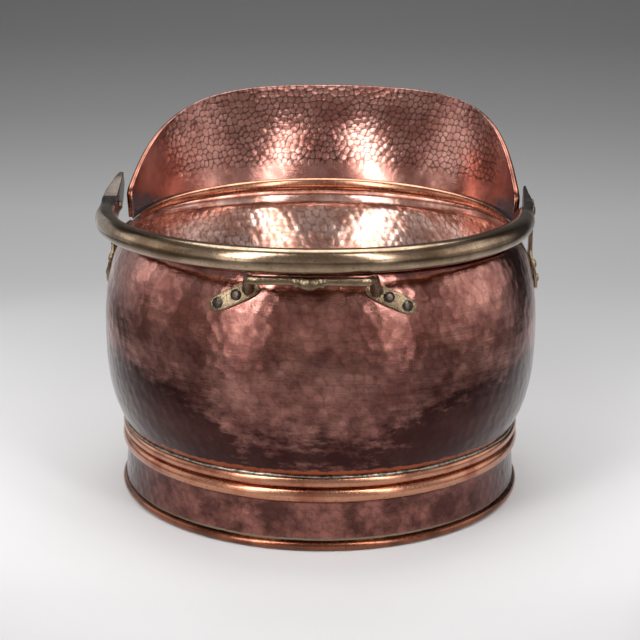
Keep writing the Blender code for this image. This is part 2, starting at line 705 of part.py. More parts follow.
def ear_half_width(height):
    """Outline of the ear: an oval lobe on the drum, a neck and a round eye."""
    lobe_middle = EAR_BOTTOM + EAR_LOBE_HEIGHT / 2.0
    lobe = 1.0 - ((height - lobe_middle) / (EAR_LOBE_HEIGHT / 2.0)) ** 2
    eye = 1.0 - ((height - PIVOT_HEIGHT) / EYE_RADIUS) ** 2
    width = 0.0
    if lobe > 0.0:
        width = EAR_LOBE_HALF_WIDTH * math.sqrt(lobe)
    if eye > 0.0:
        width = max(width, EYE_RADIUS * math.sqrt(eye))
    if lobe_middle < height < PIVOT_HEIGHT:
        width = max(width, EAR_NECK_HALF_WIDTH)
    return max(width, EAR_THICKNESS / 2.0)


def make_ear(name, side, envelope):
    lobe_top = EAR_BOTTOM + EAR_LOBE_HEIGHT
    top = PIVOT_HEIGHT + EYE_RADIUS
    heights = [EAR_BOTTOM + share * EAR_LOBE_HEIGHT for share in EAR_LOBE_SHARES]
    heights += [lobe_top + share * (PIVOT_HEIGHT - EYE_RADIUS - lobe_top) for share in (0.0, 1.0)]
    heights += [top - 2.0 * EYE_RADIUS * share for share in EAR_EYE_SHARES]
    rings = []
    for height in heights:
        inner = ear_inner_face(height, side)
        half = ear_half_width(height)
        corners = ((inner, -half), (inner + EAR_THICKNESS, -half), (inner + EAR_THICKNESS, half), (inner, half))
        rings.append([(side * x, y, height) for x, y in corners])
    ear = loft(name, rings, BRASS)
    boolean(ear, envelope)
    boolean(ear, hole_cutter(name + "_eye", pivot_place(side), (1, 0, 0), PIN_RADIUS + GAP, 2.0 * OVERRUN))
    return ear


def ear_rivet_places(side):
    """Origin and direction of an ear's rivets, square to the wall."""
    places = []
    for share in EAR_RIVET_SHARES:
        height = EAR_BOTTOM + share * EAR_LOBE_HEIGHT
        angle = side * math.pi / 2.0
        places.append((wall_point(angle, height), wall_normal(angle, height)))
    return places


def petal_places(side):
    """Origin and direction of a petal's rivets, square to the wall."""
    places = []
    for angle, height in rivet_sites_on_petal(side):
        places.append((wall_point(angle, height), wall_normal(angle, height)))
    return places


def fasten(shell, piece, label, places, grip, dome):
    """A rivet and its burr at each place, with the holes they need in drum and piece."""
    for index, (origin, direction) in enumerate(places):
        number = "_%d" % (index + 1)
        matrix = axis_matrix(origin, direction)
        spun(label + "_rivet" + number, rivet_outline(grip + GAP, dome), matrix, BRASS)
        spun(label + "_burr" + number, burr_outline(), matrix, PINK_COPPER, ring=True)
        drill = hole_cutter(label + "_drill" + number, origin, direction, RIVET_RADIUS + GAP, OVERRUN)
        boolean(shell, drill)
        boolean(piece, drill)


def rounded(value):
    """Pushes a circle's coordinate outward, for a petal with fuller corners."""
    return math.copysign(abs(value) ** PETAL_SQUARENESS_SHARE, value)


def petal_blank(name, side):
    """An oval prism square to the drum, cut down to a curved plate afterwards."""
    angle = math.pi - side * math.asin(PETAL_PLACE / wall_radius(PETAL_HEIGHT))
    out = wall_normal(angle, PETAL_HEIGHT)
    centre = wall_point(angle, PETAL_HEIGHT)
    level = Vector((side * -math.cos(angle), side * math.sin(angle), 0.0)).normalized()
    upright = out.cross(level) * side
    along = level * math.cos(PETAL_SLOPE) - upright * math.sin(PETAL_SLOPE)
    across = out.cross(along)
    rings = []
    for reach in (-OVERRUN, OVERRUN):
        ring = []
        for i in range(20):
            bend = math.tau * i / 20
            x = PETAL_LENGTH / 2.0 * rounded(math.cos(bend))
            y = PETAL_WIDTH / 2.0 * rounded(math.sin(bend))
            ring.append(centre + out * reach + along * x + across * y)
        rings.append(ring)
    root = centre - along * (PETAL_ROOT_SHARE * PETAL_LENGTH / 2.0) + out * (PETAL_THICKNESS / 2.0)
    return loft(name, rings, BRASS), root


def handle_height():
    """The bar lies just under the lowered bail."""
    return PIVOT_HEIGHT - BAIL_RADIUS - BAR_CLEARANCE - BAR_RADIUS


def arm_points(side, root):
    """From the petal, out from the drum and round the corner into the bar."""
    corner = Vector((side * BAR_HALF_LENGTH, -BAR_REACH, handle_height()))
    lead = (root - corner) * Vector((1.0, 1.0, 0.0))
    back = corner + lead.normalized() * BAR_CORNER
    inward = corner - Vector((side * BAR_CORNER, 0.0, 0.0))
    middle = (corner * 2.0 + back + inward) / 4.0
    knee = back.lerp(root, ARM_KNEE_SHARE) + Vector((0.0, 0.0, (back.z - root.z) * ARM_DROP_SHARE))
    return [root, root.lerp(knee, 0.5), knee, back, middle, inward]


def make_rear_handle(envelope):
    outer = drum_envelope("petal_outside", GAP + PETAL_THICKNESS)
    plates = []
    roots = []
    for side, label in ((-1, "left"), (1, "right")):
        plate, root = petal_blank("petal_" + label, side)
        boolean(plate, outer, "INTERSECT")
        boolean(plate, envelope)
        plates.append(as_cutter(plate))
        roots.append(root)
    points = arm_points(-1, roots[0]) + list(reversed(arm_points(1, roots[1])))
    swell = list(ARM_SWELL_SHARES) + list(reversed(ARM_SWELL_SHARES))
    handle = tube_mesh("rear_handle", points, BAR_RADIUS, 4, BRASS, radii=swell)
    knop_centre = Vector((0.0, -BAR_REACH, handle_height() + BAR_RADIUS - KNOP_HALF_HEIGHT))
    boolean(handle, knop_solid(knop_centre), "UNION")
    for side in (-1, 1):
        centre = Vector((side * BAR_COLLAR_PLACE, -BAR_REACH, handle_height() + BAR_RADIUS - BAR_COLLAR_RADIUS))
        collar = hole_cutter("bar_collar_%d" % side, centre, (1, 0, 0), BAR_COLLAR_RADIUS, BAR_COLLAR_HALF_LENGTH)
        boolean(handle, collar, "UNION")
    for plate in plates:
        boolean(handle, plate, "UNION")
    boolean(handle, envelope)
    return handle


def knop_solid(centre):
    """The oval knop in the middle of the bar, flush with its top."""
    bm = bmesh.new()
    bmesh.ops.create_uvsphere(bm, u_segments=14, v_segments=8, radius=1.0)
    size = Vector((KNOP_HALF_LENGTH, KNOP_HALF_DEPTH, KNOP_HALF_HEIGHT))
    matrix = Matrix.Translation(centre) @ Matrix.Diagonal((*size, 1.0)) @ Matrix.Rotation(math.pi / 2.0, 4, "Y")
    bmesh.ops.transform(bm, matrix=matrix, verts=bm.verts)
    return as_cutter(mesh_object("knop", bm, BRASS))


def build():
    shell = make_body_shell()
    envelope = drum_envelope("drum_envelope", GAP)
    make_floor()
    make_foot_skirt()
    make_foot_moulding()
    make_foot_wire()
    make_mouth_wire()
    make_lip()
    make_lip_wire()
    make_seam_moulding()

    pivot = bpy.data.objects.new("bail_pivot", None)
    pivot.location = (0.0, 0.0, PIVOT_HEIGHT)
    PARTS.objects.link(pivot)
    bpy.context.view_layer.update()
    make_bail_tube(pivot)

    handle = make_rear_handle(envelope)
    for side, label in ((-1, "left"), (1, "right")):
        make_leaf("bail_leaf_" + label, side, pivot)
        make_pin("pivot_pin_" + label, side)
        ear = make_ear("ear_" + label, side, envelope)
        fasten(shell, ear, "ear_" + label, ear_rivet_places(side), EAR_THICKNESS, RIVET_HEAD_HEIGHT)
        fasten(shell, handle, "handle_" + label, petal_places(side), PETAL_THICKNESS, PEENED_HEAD_HEIGHT)


build()
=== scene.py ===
# %% [markdown]
# # A hammered copper coal scuttle
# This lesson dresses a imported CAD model. The model gives every size and every moving
# body, and this script gives the surfaces: hammer marks, wired edges, solder and patina.

# %% Load the frame
import math
import random

import bmesh
import bpy
from mathutils import Matrix, Vector
from mathutils.kdtree import KDTree


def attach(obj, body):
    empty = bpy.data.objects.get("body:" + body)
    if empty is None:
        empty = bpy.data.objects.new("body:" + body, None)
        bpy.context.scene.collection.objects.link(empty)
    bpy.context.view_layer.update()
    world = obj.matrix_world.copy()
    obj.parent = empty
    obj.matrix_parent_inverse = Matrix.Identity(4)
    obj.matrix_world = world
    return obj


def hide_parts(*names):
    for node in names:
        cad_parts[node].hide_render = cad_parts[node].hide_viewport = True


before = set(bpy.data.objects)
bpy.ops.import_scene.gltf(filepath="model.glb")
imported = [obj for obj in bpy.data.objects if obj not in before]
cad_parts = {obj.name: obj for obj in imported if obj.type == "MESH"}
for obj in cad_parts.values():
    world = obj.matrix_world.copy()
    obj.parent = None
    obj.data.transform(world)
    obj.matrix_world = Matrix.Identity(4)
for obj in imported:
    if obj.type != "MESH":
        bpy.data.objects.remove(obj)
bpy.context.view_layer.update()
BODY = "scuttle"
BAIL = "bail"

# %% [markdown]
# The sizes below repeat the driving dimensions of the CAD model, in metres. The pouring
# lip points to +Y and the lowered bail to -Y. Angles round the scuttle are counted from
# +Y towards +X, so the side that faces the camera is at half a turn.

# %% Sizes shared by the pieces
GAP = 0.0003
SHEET = 0.0012
FOOT_RADIUS = 0.1700
FOOT_WIRE_RADIUS = 0.0035
SKIRT_FOOT_RADIUS = 0.1672
WAIST_RADIUS = 0.1648
SWAGE_RADIUS = 0.1689
SWAGE_BOTTOM = 0.0377
SWAGE_TOP = 0.0487
MOULDING_RADIUS = 0.1683
MOULDING_BOTTOM = 0.0500
MOULDING_TOP = 0.0584
NECK_RADIUS = 0.1628
NECK_BOTTOM = 0.0430
SEAT_RADIUS = 0.1655
BELLY_RADIUS = 0.1803
BELLY_HEIGHT = 0.1394
MOUTH_RADIUS = 0.1600
MOUTH_HEIGHT = 0.2172
COLLAR = 0.0050
SEAM_RISE = 0.0104
FLOOR_HEIGHT = 0.0440
FLOOR_RIM = 0.0080
LIP_HEIGHT = 0.0892
LIP_END = math.radians(86.0)
LIP_END_HEIGHT = 0.0220
LIP_FADE = math.radians(90.0)
LIP_CORNER = 0.0080
LIP_SIDE_FLARE = 0.06
LIP_FRONT_FLARE = 0.326
LIP_FRONT_CURL = 3.685
LIP_CROWNS = {-1: 4.3, 1: 5.9}
LIP_SWEEPS = {-1: 2.0, 1: 2.45}
EDGE_WIRE_RADIUS = 0.0023
LIP_WIRE_RADIUS = 0.00223
SEAM_HALF_HEIGHT = 0.0060
SEAM_DEPTH = 0.0048
SEAM_END = math.radians(82.0)
SEAM_END_SHARE = 0.42
SEAM_STAND_OFF = 0.0008
print("belly", BELLY_RADIUS, "mouth", MOUTH_RADIUS, "foot", FOOT_RADIUS)

# %% [markdown]
# The camera comes first. It stands about a metre from the scuttle's middle, on the side
# of the tipping handle and a little to the right, and looks down by fifteen degrees. It
# is turned by hand from three directions, so that the photograph's small roll is kept.

# %% Camera
CAMERA_DISTANCE = 1.0319
CAMERA_HEIGHT = 0.4066
CAMERA_AZIMUTH = math.radians(2.1)
CAMERA_PITCH = math.radians(14.79)
CAMERA_ROLL = math.radians(0.44)
CAMERA_LENS_MM = 70.50
IMAGE_SIDE = 640.0
SHIFT_X_PX = -0.67
SHIFT_Y_PX = 1.0


def camera_matrix():
    turn = CAMERA_AZIMUTH
    pitch = CAMERA_PITCH
    forward = Vector((-math.sin(turn) * math.cos(pitch), math.cos(turn) * math.cos(pitch), -math.sin(pitch)))
    level = Vector((math.cos(turn), math.sin(turn), 0.0))
    upward = level.cross(forward)
    right = level * math.cos(CAMERA_ROLL) + upward * math.sin(CAMERA_ROLL)
    top = upward * math.cos(CAMERA_ROLL) - level * math.sin(CAMERA_ROLL)
    matrix = Matrix((right, top, -forward)).transposed().to_4x4()
    matrix.translation = (CAMERA_DISTANCE * math.sin(turn), -CAMERA_DISTANCE * math.cos(turn), CAMERA_HEIGHT)
    return matrix


camera_data = bpy.data.cameras.new("camera")
camera_data.lens = CAMERA_LENS_MM
camera_data.sensor_width = 36.0
camera_data.shift_x = SHIFT_X_PX / IMAGE_SIDE
camera_data.shift_y = SHIFT_Y_PX / IMAGE_SIDE
camera = bpy.data.objects.new("camera", camera_data)
camera.matrix_world = camera_matrix()
bpy.context.scene.collection.objects.link(camera)
bpy.context.scene.camera = camera
print("camera at", tuple(round(value, 4) for value in camera.location))

# %% [markdown]
# Materials are made from nodes. One function turns a written sRGB hex colour into the
# linear values that the shader wants, and one adds a node with its settings and links.
# Every pattern's scale is worked out from a real size in millimetres.

# %% Material helpers
MM = 0.001


def linear(hex_colour, alpha=1.0):
    values = []
    for start in (0, 2, 4):
        value = int(hex_colour[start:start + 2], 16) / 255.0
        values.append(value / 12.92 if value <= 0.04045 else ((value + 0.055) / 1.055) ** 2.4)
    return (*values, alpha)


def per_size(millimetres):
    """Scale of a noise whose features are about that size."""
    return 1.0 / (millimetres * MM)


def feed(tree, node, inputs):
    """Sets each input to its value, or links it where the value is a socket."""
    for key, value in inputs.items():
        if isinstance(value, bpy.types.NodeSocket):
            tree.links.new(value, node.inputs[key])
        else:
            node.inputs[key].default_value = value


def add(tree, kind, settings=None, inputs=None):
    """Adds a node, sets its properties, and sets or links its inputs."""
    node = tree.nodes.new(kind)
    for key, value in (settings or {}).items():
        setattr(node, key, value)
    feed(tree, node, inputs or {})
    return node


def grey(value):
    return (value, value, value, 1.0)


def ramp(tree, factor, *stops):
    """A ramp from (position, colour) pairs, where a plain number is a grey."""
    node = add(tree, "ShaderNodeValToRGB", inputs={"Fac": factor})
    elements = node.color_ramp.elements
    while len(elements) < len(stops):
        elements.new(0.5)
    for element, (position, colour) in zip(elements, stops):
        element.position = position
        element.color = grey(colour) if isinstance(colour, float) else colour
    return node.outputs["Color"]


def new_material(name):
    material = bpy.data.materials.new(name)
    material.use_nodes = True
    tree = material.node_tree
    shader = tree.nodes["Principled BSDF"]
    shader.inputs["Metallic"].default_value = 1.0
    place = tree.nodes.new("ShaderNodeTexCoord").outputs["Object"]
    return material, tree, shader, place


def noise(tree, place, millimetres, detail=4.0, roughness=0.55, stretch=None):
    if stretch:
        place = add(tree, "ShaderNodeMapping", inputs={"Vector": place, "Scale": stretch}).outputs["Vector"]
    node = add(tree, "ShaderNodeTexNoise", inputs={
        "Vector": place, "Scale": per_size(millimetres), "Detail": detail, "Roughness": roughness})
    return node.outputs["Fac"]


def blend_colours(tree, factor, first, second, mode="MIX"):
    node = add(tree, "ShaderNodeMix", {"data_type": "RGBA", "blend_type": mode},
               {0: factor, 6: first, 7: second})
    return node.outputs[2]


def relief(tree, height, strength, millimetres, under=None):
    inputs = {"Height": height, "Strength": strength, "Distance": millimetres * MM}
    if under:
        inputs["Normal"] = under
    return add(tree, "ShaderNodeBump", inputs=inputs).outputs["Normal"]


print("material helpers ready")

# %% [markdown]
# Old copper is pink where it has been rubbed and brown where its patina is thick. The
# outside has the darkest patina, in clouds about as wide as a thumb and streaks that run
# down the wall. The hammer marks are real geometry, and each vertex carries its distance from
# the nearest blow, so the patina can gather along the ridges between the blows. A thin
# clear coat stands for the wax, which adds the white gleam over the coloured metal.

# %% Copper


def height_share(tree, place, low, high):
    """Grows from nought to one between two heights."""
    height = add(tree, "ShaderNodeSeparateXYZ", inputs={"Vector": place}).outputs["Z"]
    return add(tree, "ShaderNodeMapRange", inputs={
        "Value": height, "From Min": low, "From Max": high}).outputs["Result"]


def side_share(tree, place, low, high, least=0.0, most=1.0):
    """Grows from least to most between two distances from the middle, on both sides."""
    across = add(tree, "ShaderNodeSeparateXYZ", inputs={"Vector": place}).outputs["X"]
    across = add(tree, "ShaderNodeMath", {"operation": "ABSOLUTE"}, {0: across}).outputs[0]
    return add(tree, "ShaderNodeMapRange", inputs={
        "Value": across, "From Min": low, "From Max": high,
        "To Min": least, "To Max": most}).outputs["Result"]


def product(tree, first, second, operation="MULTIPLY"):
    settings = {"operation": operation, "use_clamp": True}
    return add(tree, "ShaderNodeMath", settings, {0: first, 1: second}).outputs[0]


def hammered_copper(name, rubbed, brown, ridge_colour, cloud_mm, gloss, ridge_share, wax):
    """Copper sheet with clouds of patina. gloss is (least, most) roughness."""
    material, tree, shader, place = new_material(name)
    mark = add(tree, "ShaderNodeAttribute", {"attribute_name": "mark"}).outputs["Fac"]
    tone = add(tree, "ShaderNodeAttribute", {"attribute_name": "tone"}).outputs["Fac"]
    clouds = noise(tree, place, cloud_mm, 6.0, 0.62)
    streaks = noise(tree, place, 14.0, 5.0, 0.65, (1.0, 1.0, 0.18))
    specks = noise(tree, place, 2.6, 4.0, 0.7)
    patina = ramp(tree, clouds, (0.40, 0.0), (0.60, 1.0))
    colour = blend_colours(tree, patina, linear(rubbed), linear(brown))
    streak_share = ramp(tree, streaks, (0.50, 0.0), (0.72, 0.60))
    colour = blend_colours(tree, streak_share, colour, linear(brown))
    tone_share = ramp(tree, tone, (0.0, 0.70), (1.0, 1.0))
    colour = blend_colours(tree, 0.7, colour, tone_share, "MULTIPLY")
    ridge = ramp(tree, mark, (0.45, 0.0), (0.85, ridge_share))
    colour = blend_colours(tree, ridge, colour, linear(ridge_colour))
    speck_share = ramp(tree, specks, (0.58, 0.0), (0.72, 0.45))
    colour = blend_colours(tree, speck_share, colour, linear(ridge_colour))
    roughness = ramp(tree, clouds, (0.3, gloss[0]), (0.75, gloss[1]))
    scratches = noise(tree, place, 5.0, 6.0, 0.75, (0.22, 0.22, 2.4))
    pits = noise(tree, place, 1.4, 3.0, 0.6)
    normal = relief(tree, scratches, 0.30, 0.5)
    normal = relief(tree, pits, 0.10, 0.3, normal)
    feed(tree, shader, {"Base Color": colour, "Roughness": roughness, "Normal": normal,
                        "Coat Weight": wax, "Coat Roughness": 0.16})
    return material, tree, shader, place, colour


def outside_copper():
    """The drum: near black low down and darker towards both sides, partly patina and partly painted shade,
    and a bare orange edge over the moulding.
    """
    material, tree, shader, place, colour = hammered_copper(
        "patinated_hammered_copper", "C28A7E", "8E5C54", "381C1A", 26.0, (0.07, 0.14), 0.24, 0.04)
    lower = height_share(tree, place, 0.150, 0.075)
    # Darker towards both sides, front and back alike: partly patina, partly painted shade.
    side_patina_and_shade = side_share(tree, place, 0.05, 0.15, 0.85, 2.2)
    ragged = noise(tree, place, 16.0, 6.0, 0.7, (1.0, 1.0, 2.2))
    low_dark_and_side_shade = product(tree, product(tree, lower, ragged), side_patina_and_shade)
    dark_share = ramp(tree, low_dark_and_side_shade, (0.13, 0.0), (0.40, 0.94))
    colour = blend_colours(tree, dark_share, colour, linear("2E1817"))
    edge = height_share(tree, place, 0.0672, 0.0602)
    torn = noise(tree, place, 7.0, 4.0, 0.6)
    bare_share = ramp(tree, product(tree, edge, torn, "ADD"), (0.88, 0.0), (0.98, 1.0))
    colour = blend_colours(tree, bare_share, colour, linear("9A5238"))
    feed(tree, shader, {"Base Color": colour})
    return material


def lip_copper():
    """The lip's hollow: pale cells outlined in dark patina, solder at the seam's ends."""
    material, tree, shader, place, colour = hammered_copper(
        "dimpled_lip_copper", "CC9688", "A26A5E", "402420", 34.0, (0.10, 0.20), 0.85, 0.14)
    outer = side_share(tree, place, 0.140, 0.160)
    low = height_share(tree, place, 0.243, 0.219)
    torn = noise(tree, place, 6.0, 4.0, 0.6)
    share = product(tree, product(tree, outer, low), torn, "ADD")
    solder_share = ramp(tree, share, (0.74, 0.0), (0.84, 1.0))
    colour = blend_colours(tree, solder_share, colour, linear("7C7F88"))
    feed(tree, shader, {"Base Color": colour, "Metallic": 0.86})
    return material


def foot_copper():
    """The foot band: brown patina, grey green dirt in the corner over the wire, and darker towards both
    sides, partly patina and partly painted shade.
    """
    material, tree, shader, place, colour = hammered_copper(
        "foot_band_copper", "9C685E", "5E3C36", "2E1A18", 20.0, (0.06, 0.13), 0.26, 0.04)
    corner = height_share(tree, place, 0.0108, 0.0078)
    torn = noise(tree, place, 5.0, 4.0, 0.6)
    share = ramp(tree, product(tree, corner, torn, "ADD"), (0.86, 0.0), (1.0, 0.85))
    colour = blend_colours(tree, share, colour, linear("8A8270"))
    # Darker towards both sides, front and back alike: partly patina, partly painted shade.
    side_patina_and_shade = side_share(tree, place, 0.07, 0.15, 0.0, 0.7)
    colour = blend_colours(tree, side_patina_and_shade, colour, linear("40282A"))
    feed(tree, shader, {"Base Color": colour})
    return material


def inside_copper():
    """The drum's hollow: cleaner. A steady slope tips its normals up, to the lit ceiling."""
    material, tree, shader, place, _ = hammered_copper(
        "cleaner_hammered_copper", "F0CCBE", "C08E7C", "7E4C3C", 22.0, (0.11, 0.22), 0.60, 0.3)
    height = add(tree, "ShaderNodeSeparateXYZ", inputs={"Vector": place}).outputs["Z"]
    slope = add(tree, "ShaderNodeMath", {"operation": "MULTIPLY"}, {0: height, 1: -0.88}).outputs[0]
    normal = shader.inputs["Normal"].links[0].from_socket
    feed(tree, shader, {"Metallic": 0.85, "Normal": relief(tree, slope, 1.0, 1000.0, normal)})
    return material


OUTSIDE_COPPER = outside_copper()
INSIDE_COPPER = inside_copper()
LIP_COPPER = lip_copper()
FOOT_COPPER = foot_copper()


def rubbed_copper(name, bright, dull, stain, dull_from):
    """Copper mouldings and wired edges, rubbed orange in patches."""
    material, tree, shader, place = new_material(name)
    clouds = noise(tree, place, 26.0, 4.0, 0.55)
    specks = noise(tree, place, 2.2, 4.0, 0.65)
    share = ramp(tree, clouds, (dull_from, 0.0), (dull_from + 0.16, 1.0))
    colour = blend_colours(tree, share, linear(bright), linear(dull))
    stains = ramp(tree, specks, (0.58, 0.0), (0.74, 0.6))
    colour = blend_colours(tree, stains, colour, linear(stain))
    roughness = ramp(tree, specks, (0.3, 0.16), (0.8, 0.34))
    feed(tree, shader, {"Base Color": colour, "Roughness": roughness,
                        "Normal": relief(tree, specks, 0.14, 0.4),
                        "Coat Weight": 0.3, "Coat Roughness": 0.14})
    return material


MOULDING_COPPER = rubbed_copper("rubbed_copper_moulding", "BC8468", "9C5E46", "62392C", 0.50)
WIRE_COPPER = rubbed_copper("rubbed_copper_wired_edge", "8C543C", "6A3E2C", "3E241A", 0.46)


def worn_brass(name, bright, dull, tarnish, gloss, pit_strength):
    """Brass: polished by hands on the bail, pitted and greyish on the castings."""
    material, tree, shader, place = new_material(name)
    clouds = noise(tree, place, 28.0, 5.0, 0.62)
    specks = noise(tree, place, 1.6, 5.0, 0.7)
    share = ramp(tree, clouds, (0.38, 0.0), (0.64, 1.0))
    colour = blend_colours(tree, share, linear(bright), linear(dull))
    dark = ramp(tree, specks, (0.54, 0.0), (0.68, 0.85))
    colour = blend_colours(tree, dark, colour, linear(tarnish))
    roughness = ramp(tree, clouds, (0.35, gloss[0]), (0.7, gloss[1]))
    feed(tree, shader, {"Base Color": colour, "Roughness": roughness,
                        "Normal": relief(tree, specks, pit_strength, 0.5)})
    return material


BAIL_BRASS = worn_brass("hand_polished_brass_tube", "A69078", "7C664F", "544332", (0.16, 0.25), 0.05)
CAST_BRASS = worn_brass("pitted_cast_brass", "96836A", "685844", "2C241C", (0.17, 0.32), 0.60)
# A darker copy of the bail's brass: on the leaf ends it is painted shade, for the dark room they mirror. The
# handle's rivets take it too.
DARK_BRASS_PAINTED_SHADE = worn_brass("brass_darkened_as_painted_shade", "544A42", "3C3530", "28231F", (0.22, 0.32), 0.12)


def soft_solder():
    """Tin solder, silver grey, wiped on in a soft uneven line."""
    material, tree, shader, place = new_material("wiped_tin_solder")
    lumps = noise(tree, place, 3.0, 4.0, 0.6)
    colour = ramp(tree, lumps, (0.38, linear("5E5F5A")), (0.62, linear("B4B2A4")))
    feed(tree, shader, {"Base Color": colour, "Roughness": 0.34, "Normal": relief(tree, lumps, 0.5, 0.6)})
    return material


SOLDER = soft_solder()
print("materials:", [m.name for m in bpy.data.materials][:20])

# %% [markdown]
# Each finished mesh goes through one function.

# %% Finishing helper
TRIANGLES = {}


def mesh_object(name, bm):
    """Makes a bmesh an object in the scene."""
    mesh = bpy.data.meshes.new(name)
    bm.to_mesh(mesh)
    bm.free()
    made = bpy.data.objects.new(name, mesh)
    bpy.context.scene.collection.objects.link(made)
    return made


def finish_piece(name, bm, material, body, stands_for=None, crease=None, flip=True):
    if flip:
        bmesh.ops.recalc_face_normals(bm, faces=bm.faces)
    piece = mesh_object(name, bm)
    mesh = piece.data
    mesh.shade_smooth()
    if crease:
        mesh.set_sharp_from_angle(angle=math.radians(crease))
    mesh.materials.append(material)
    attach(piece, body)
    if stands_for:
        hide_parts(stands_for)
    TRIANGLES[name] = sum(len(polygon.vertices) - 2 for polygon in mesh.polygons)
    print(name, TRIANGLES[name], "triangles")
    return piece


def second_finish(piece, material, chosen):
    """Gives the chosen faces another material."""
    piece.data.materials.append(material)
    for polygon in piece.data.polygons:
        polygon.material_index = int(chosen(polygon))


def faces_outward(polygon):
    return polygon.normal.x * polygon.center.x + polygon.normal.y * polygon.center.y > 0.0


# %% [markdown]
# Turned pieces are made the way a spinner makes them: a profile is drawn once, as a few
# vertices and edges, and the spin operator carries it all the way round. Where hammer
# marks follow, the profile is first cut finer, so that there are points to move.

# %% Turning helper


def turned_profile(points, steps, closed=True, spacing=None):
    """Spins (radius, height) points round Z. spacing cuts long stretches finer."""
    bm = bmesh.new()
    fine = [points[0]]
    ends = list(points[1:]) + ([points[0]] if closed else [])
    for target in ends:
        start = fine[-1]
        length = math.dist(start, target)
        count = max(1, round(length / spacing)) if spacing else 1
        for i in range(1, count + 1):
            share = i / count
            fine.append(tuple(a + (b - a) * share for a, b in zip(start, target)))
    if closed:
        fine.pop()
    verts = [bm.verts.new((radius, 0.0, height)) for radius, height in fine]
    edges = [bm.edges.new(pair) for pair in zip(verts, verts[1:])]
    if closed:
        edges.append(bm.edges.new((verts[-1], verts[0])))
    bmesh.ops.spin(bm, geom=verts + edges, axis=(0, 0, 1), cent=(0, 0, 0),
                   angle=math.tau, steps=steps, use_merge=True)
    bmesh.ops.remove_doubles(bm, verts=bm.verts, dist=0.00002)
    bmesh.ops.recalc_face_normals(bm, faces=bm.faces)
    bm.normal_update()
    return bm


# %% [markdown]
# Hammer marks are the scuttle's character. Each blow of a domed hammer leaves a shallow
# round hollow, and where two hollows meet there is a ridge. The helper finds the nearest
# blow to each point and sinks the point by a parabola, which gives both at once. It also
# stores how close the ridge is as "mark", from the distance to the second nearest blow,
# and a value for each blow as "tone", for the material.

# %% Hammering helper


def at(radius, angle, height):
    return Vector((radius * math.sin(angle), radius * math.cos(angle), height))


def clamp(value, least=0.0):
    return min(1.0, max(least, value))


def blows_on(point_at, rows, round_length, spacing, jitter, seed, arc=(0.0, math.tau)):
    """Places blows in staggered rows. point_at(angle, row) gives a place on the sheet."""
    dice = random.Random(seed)
    places = []
    for number, row in enumerate(rows):
        length = round_length(row) * (arc[1] - arc[0]) / math.tau
        count = max(3, round(length / spacing))
        for i in range(count):
            share = (i + 0.5 * (number % 2) + dice.uniform(-jitter, jitter)) / count
            angle = arc[0] + (arc[1] - arc[0]) * share
            lift = dice.uniform(-jitter, jitter) * spacing
            places.append((point_at(angle, row + lift), dice.random()))
    return places


def hammer(bm, places, spacing, depth, chosen, fade=None):
    """Sinks the chosen vertices along their normals. fade(vert) may soften the blows."""
    tree = KDTree(len(places))
    for index, (place, _) in enumerate(places):
        tree.insert(place, index)
    tree.balance()
    mark_layer = bm.verts.layers.float.get("mark") or bm.verts.layers.float.new("mark")
    tone_layer = bm.verts.layers.float.get("tone") or bm.verts.layers.float.new("tone")
    moves = []
    for vert in bm.verts:
        if not chosen(vert):
            continue
        (_, index, distance), (_, _, second) = tree.find_n(vert.co, 2)
        tone = places[index][1]
        share = min(1.0, distance / (0.62 * spacing))
        softness = fade(vert) if fade else 1.0
        sink = depth * (0.55 + 0.9 * tone) * (1.0 - share ** 2) * softness
        vert[mark_layer] = max(0.0, 1.0 - (second - distance) / (0.42 * spacing)) * softness
        vert[tone_layer] = tone
        moves.append((vert, vert.normal * -sink))
    for vert, move in moves:
        vert.co += move
    return len(moves)


# %% [markdown]
# The drum is modelled as one sheet. Its outline is a steep curve up from the foot to the
# belly and a rounded shoulder to the mouth. A spin of the whole wall, outside and inside
# in one closed profile, keeps the sheet its real thickness. The rim is then lifted
# towards the lip, where the seam rises.

# %% Drum


def wall_radius(height):
    shoulder_top = MOUTH_HEIGHT - COLLAR
    if height <= BELLY_HEIGHT:
        t = max(0.0, (height - MOULDING_TOP) / (BELLY_HEIGHT - MOULDING_TOP))
        return SEAT_RADIUS + (BELLY_RADIUS - SEAT_RADIUS) * (1.0 - (1.0 - t) ** 3.2)
    t = min((height - BELLY_HEIGHT) / (shoulder_top - BELLY_HEIGHT), 1.0)
    return BELLY_RADIUS - (BELLY_RADIUS - MOUTH_RADIUS) * (1.0 - (1.0 - t ** 1.8) ** 0.55)


def seam_height(angle):
    return MOUTH_HEIGHT + SEAM_RISE * max(0.0, math.cos(angle))


def wall_outline(inset, count):
    """Points of the wall from the shoulder's top down to the moulding, moved inward."""
    shoulder_top = MOUTH_HEIGHT - COLLAR
    points = []
    for i in range(count + 1):
        share = i / count
        height = shoulder_top - (shoulder_top - MOULDING_TOP) * share ** 1.35
        slope = (wall_radius(height + SHEET) - wall_radius(height - SHEET)) / (2.0 * SHEET)
        length = math.hypot(1.0, slope)
        points.append((wall_radius(height) - inset / length, height + inset * slope / length))
    return points


DRUM_STEPS = 620
OUTSIDE_BLOW = 9.5 * MM
OUTSIDE_DEPTH = 0.25 * MM
INSIDE_BLOW = 8.5 * MM
INSIDE_DEPTH = 0.28 * MM


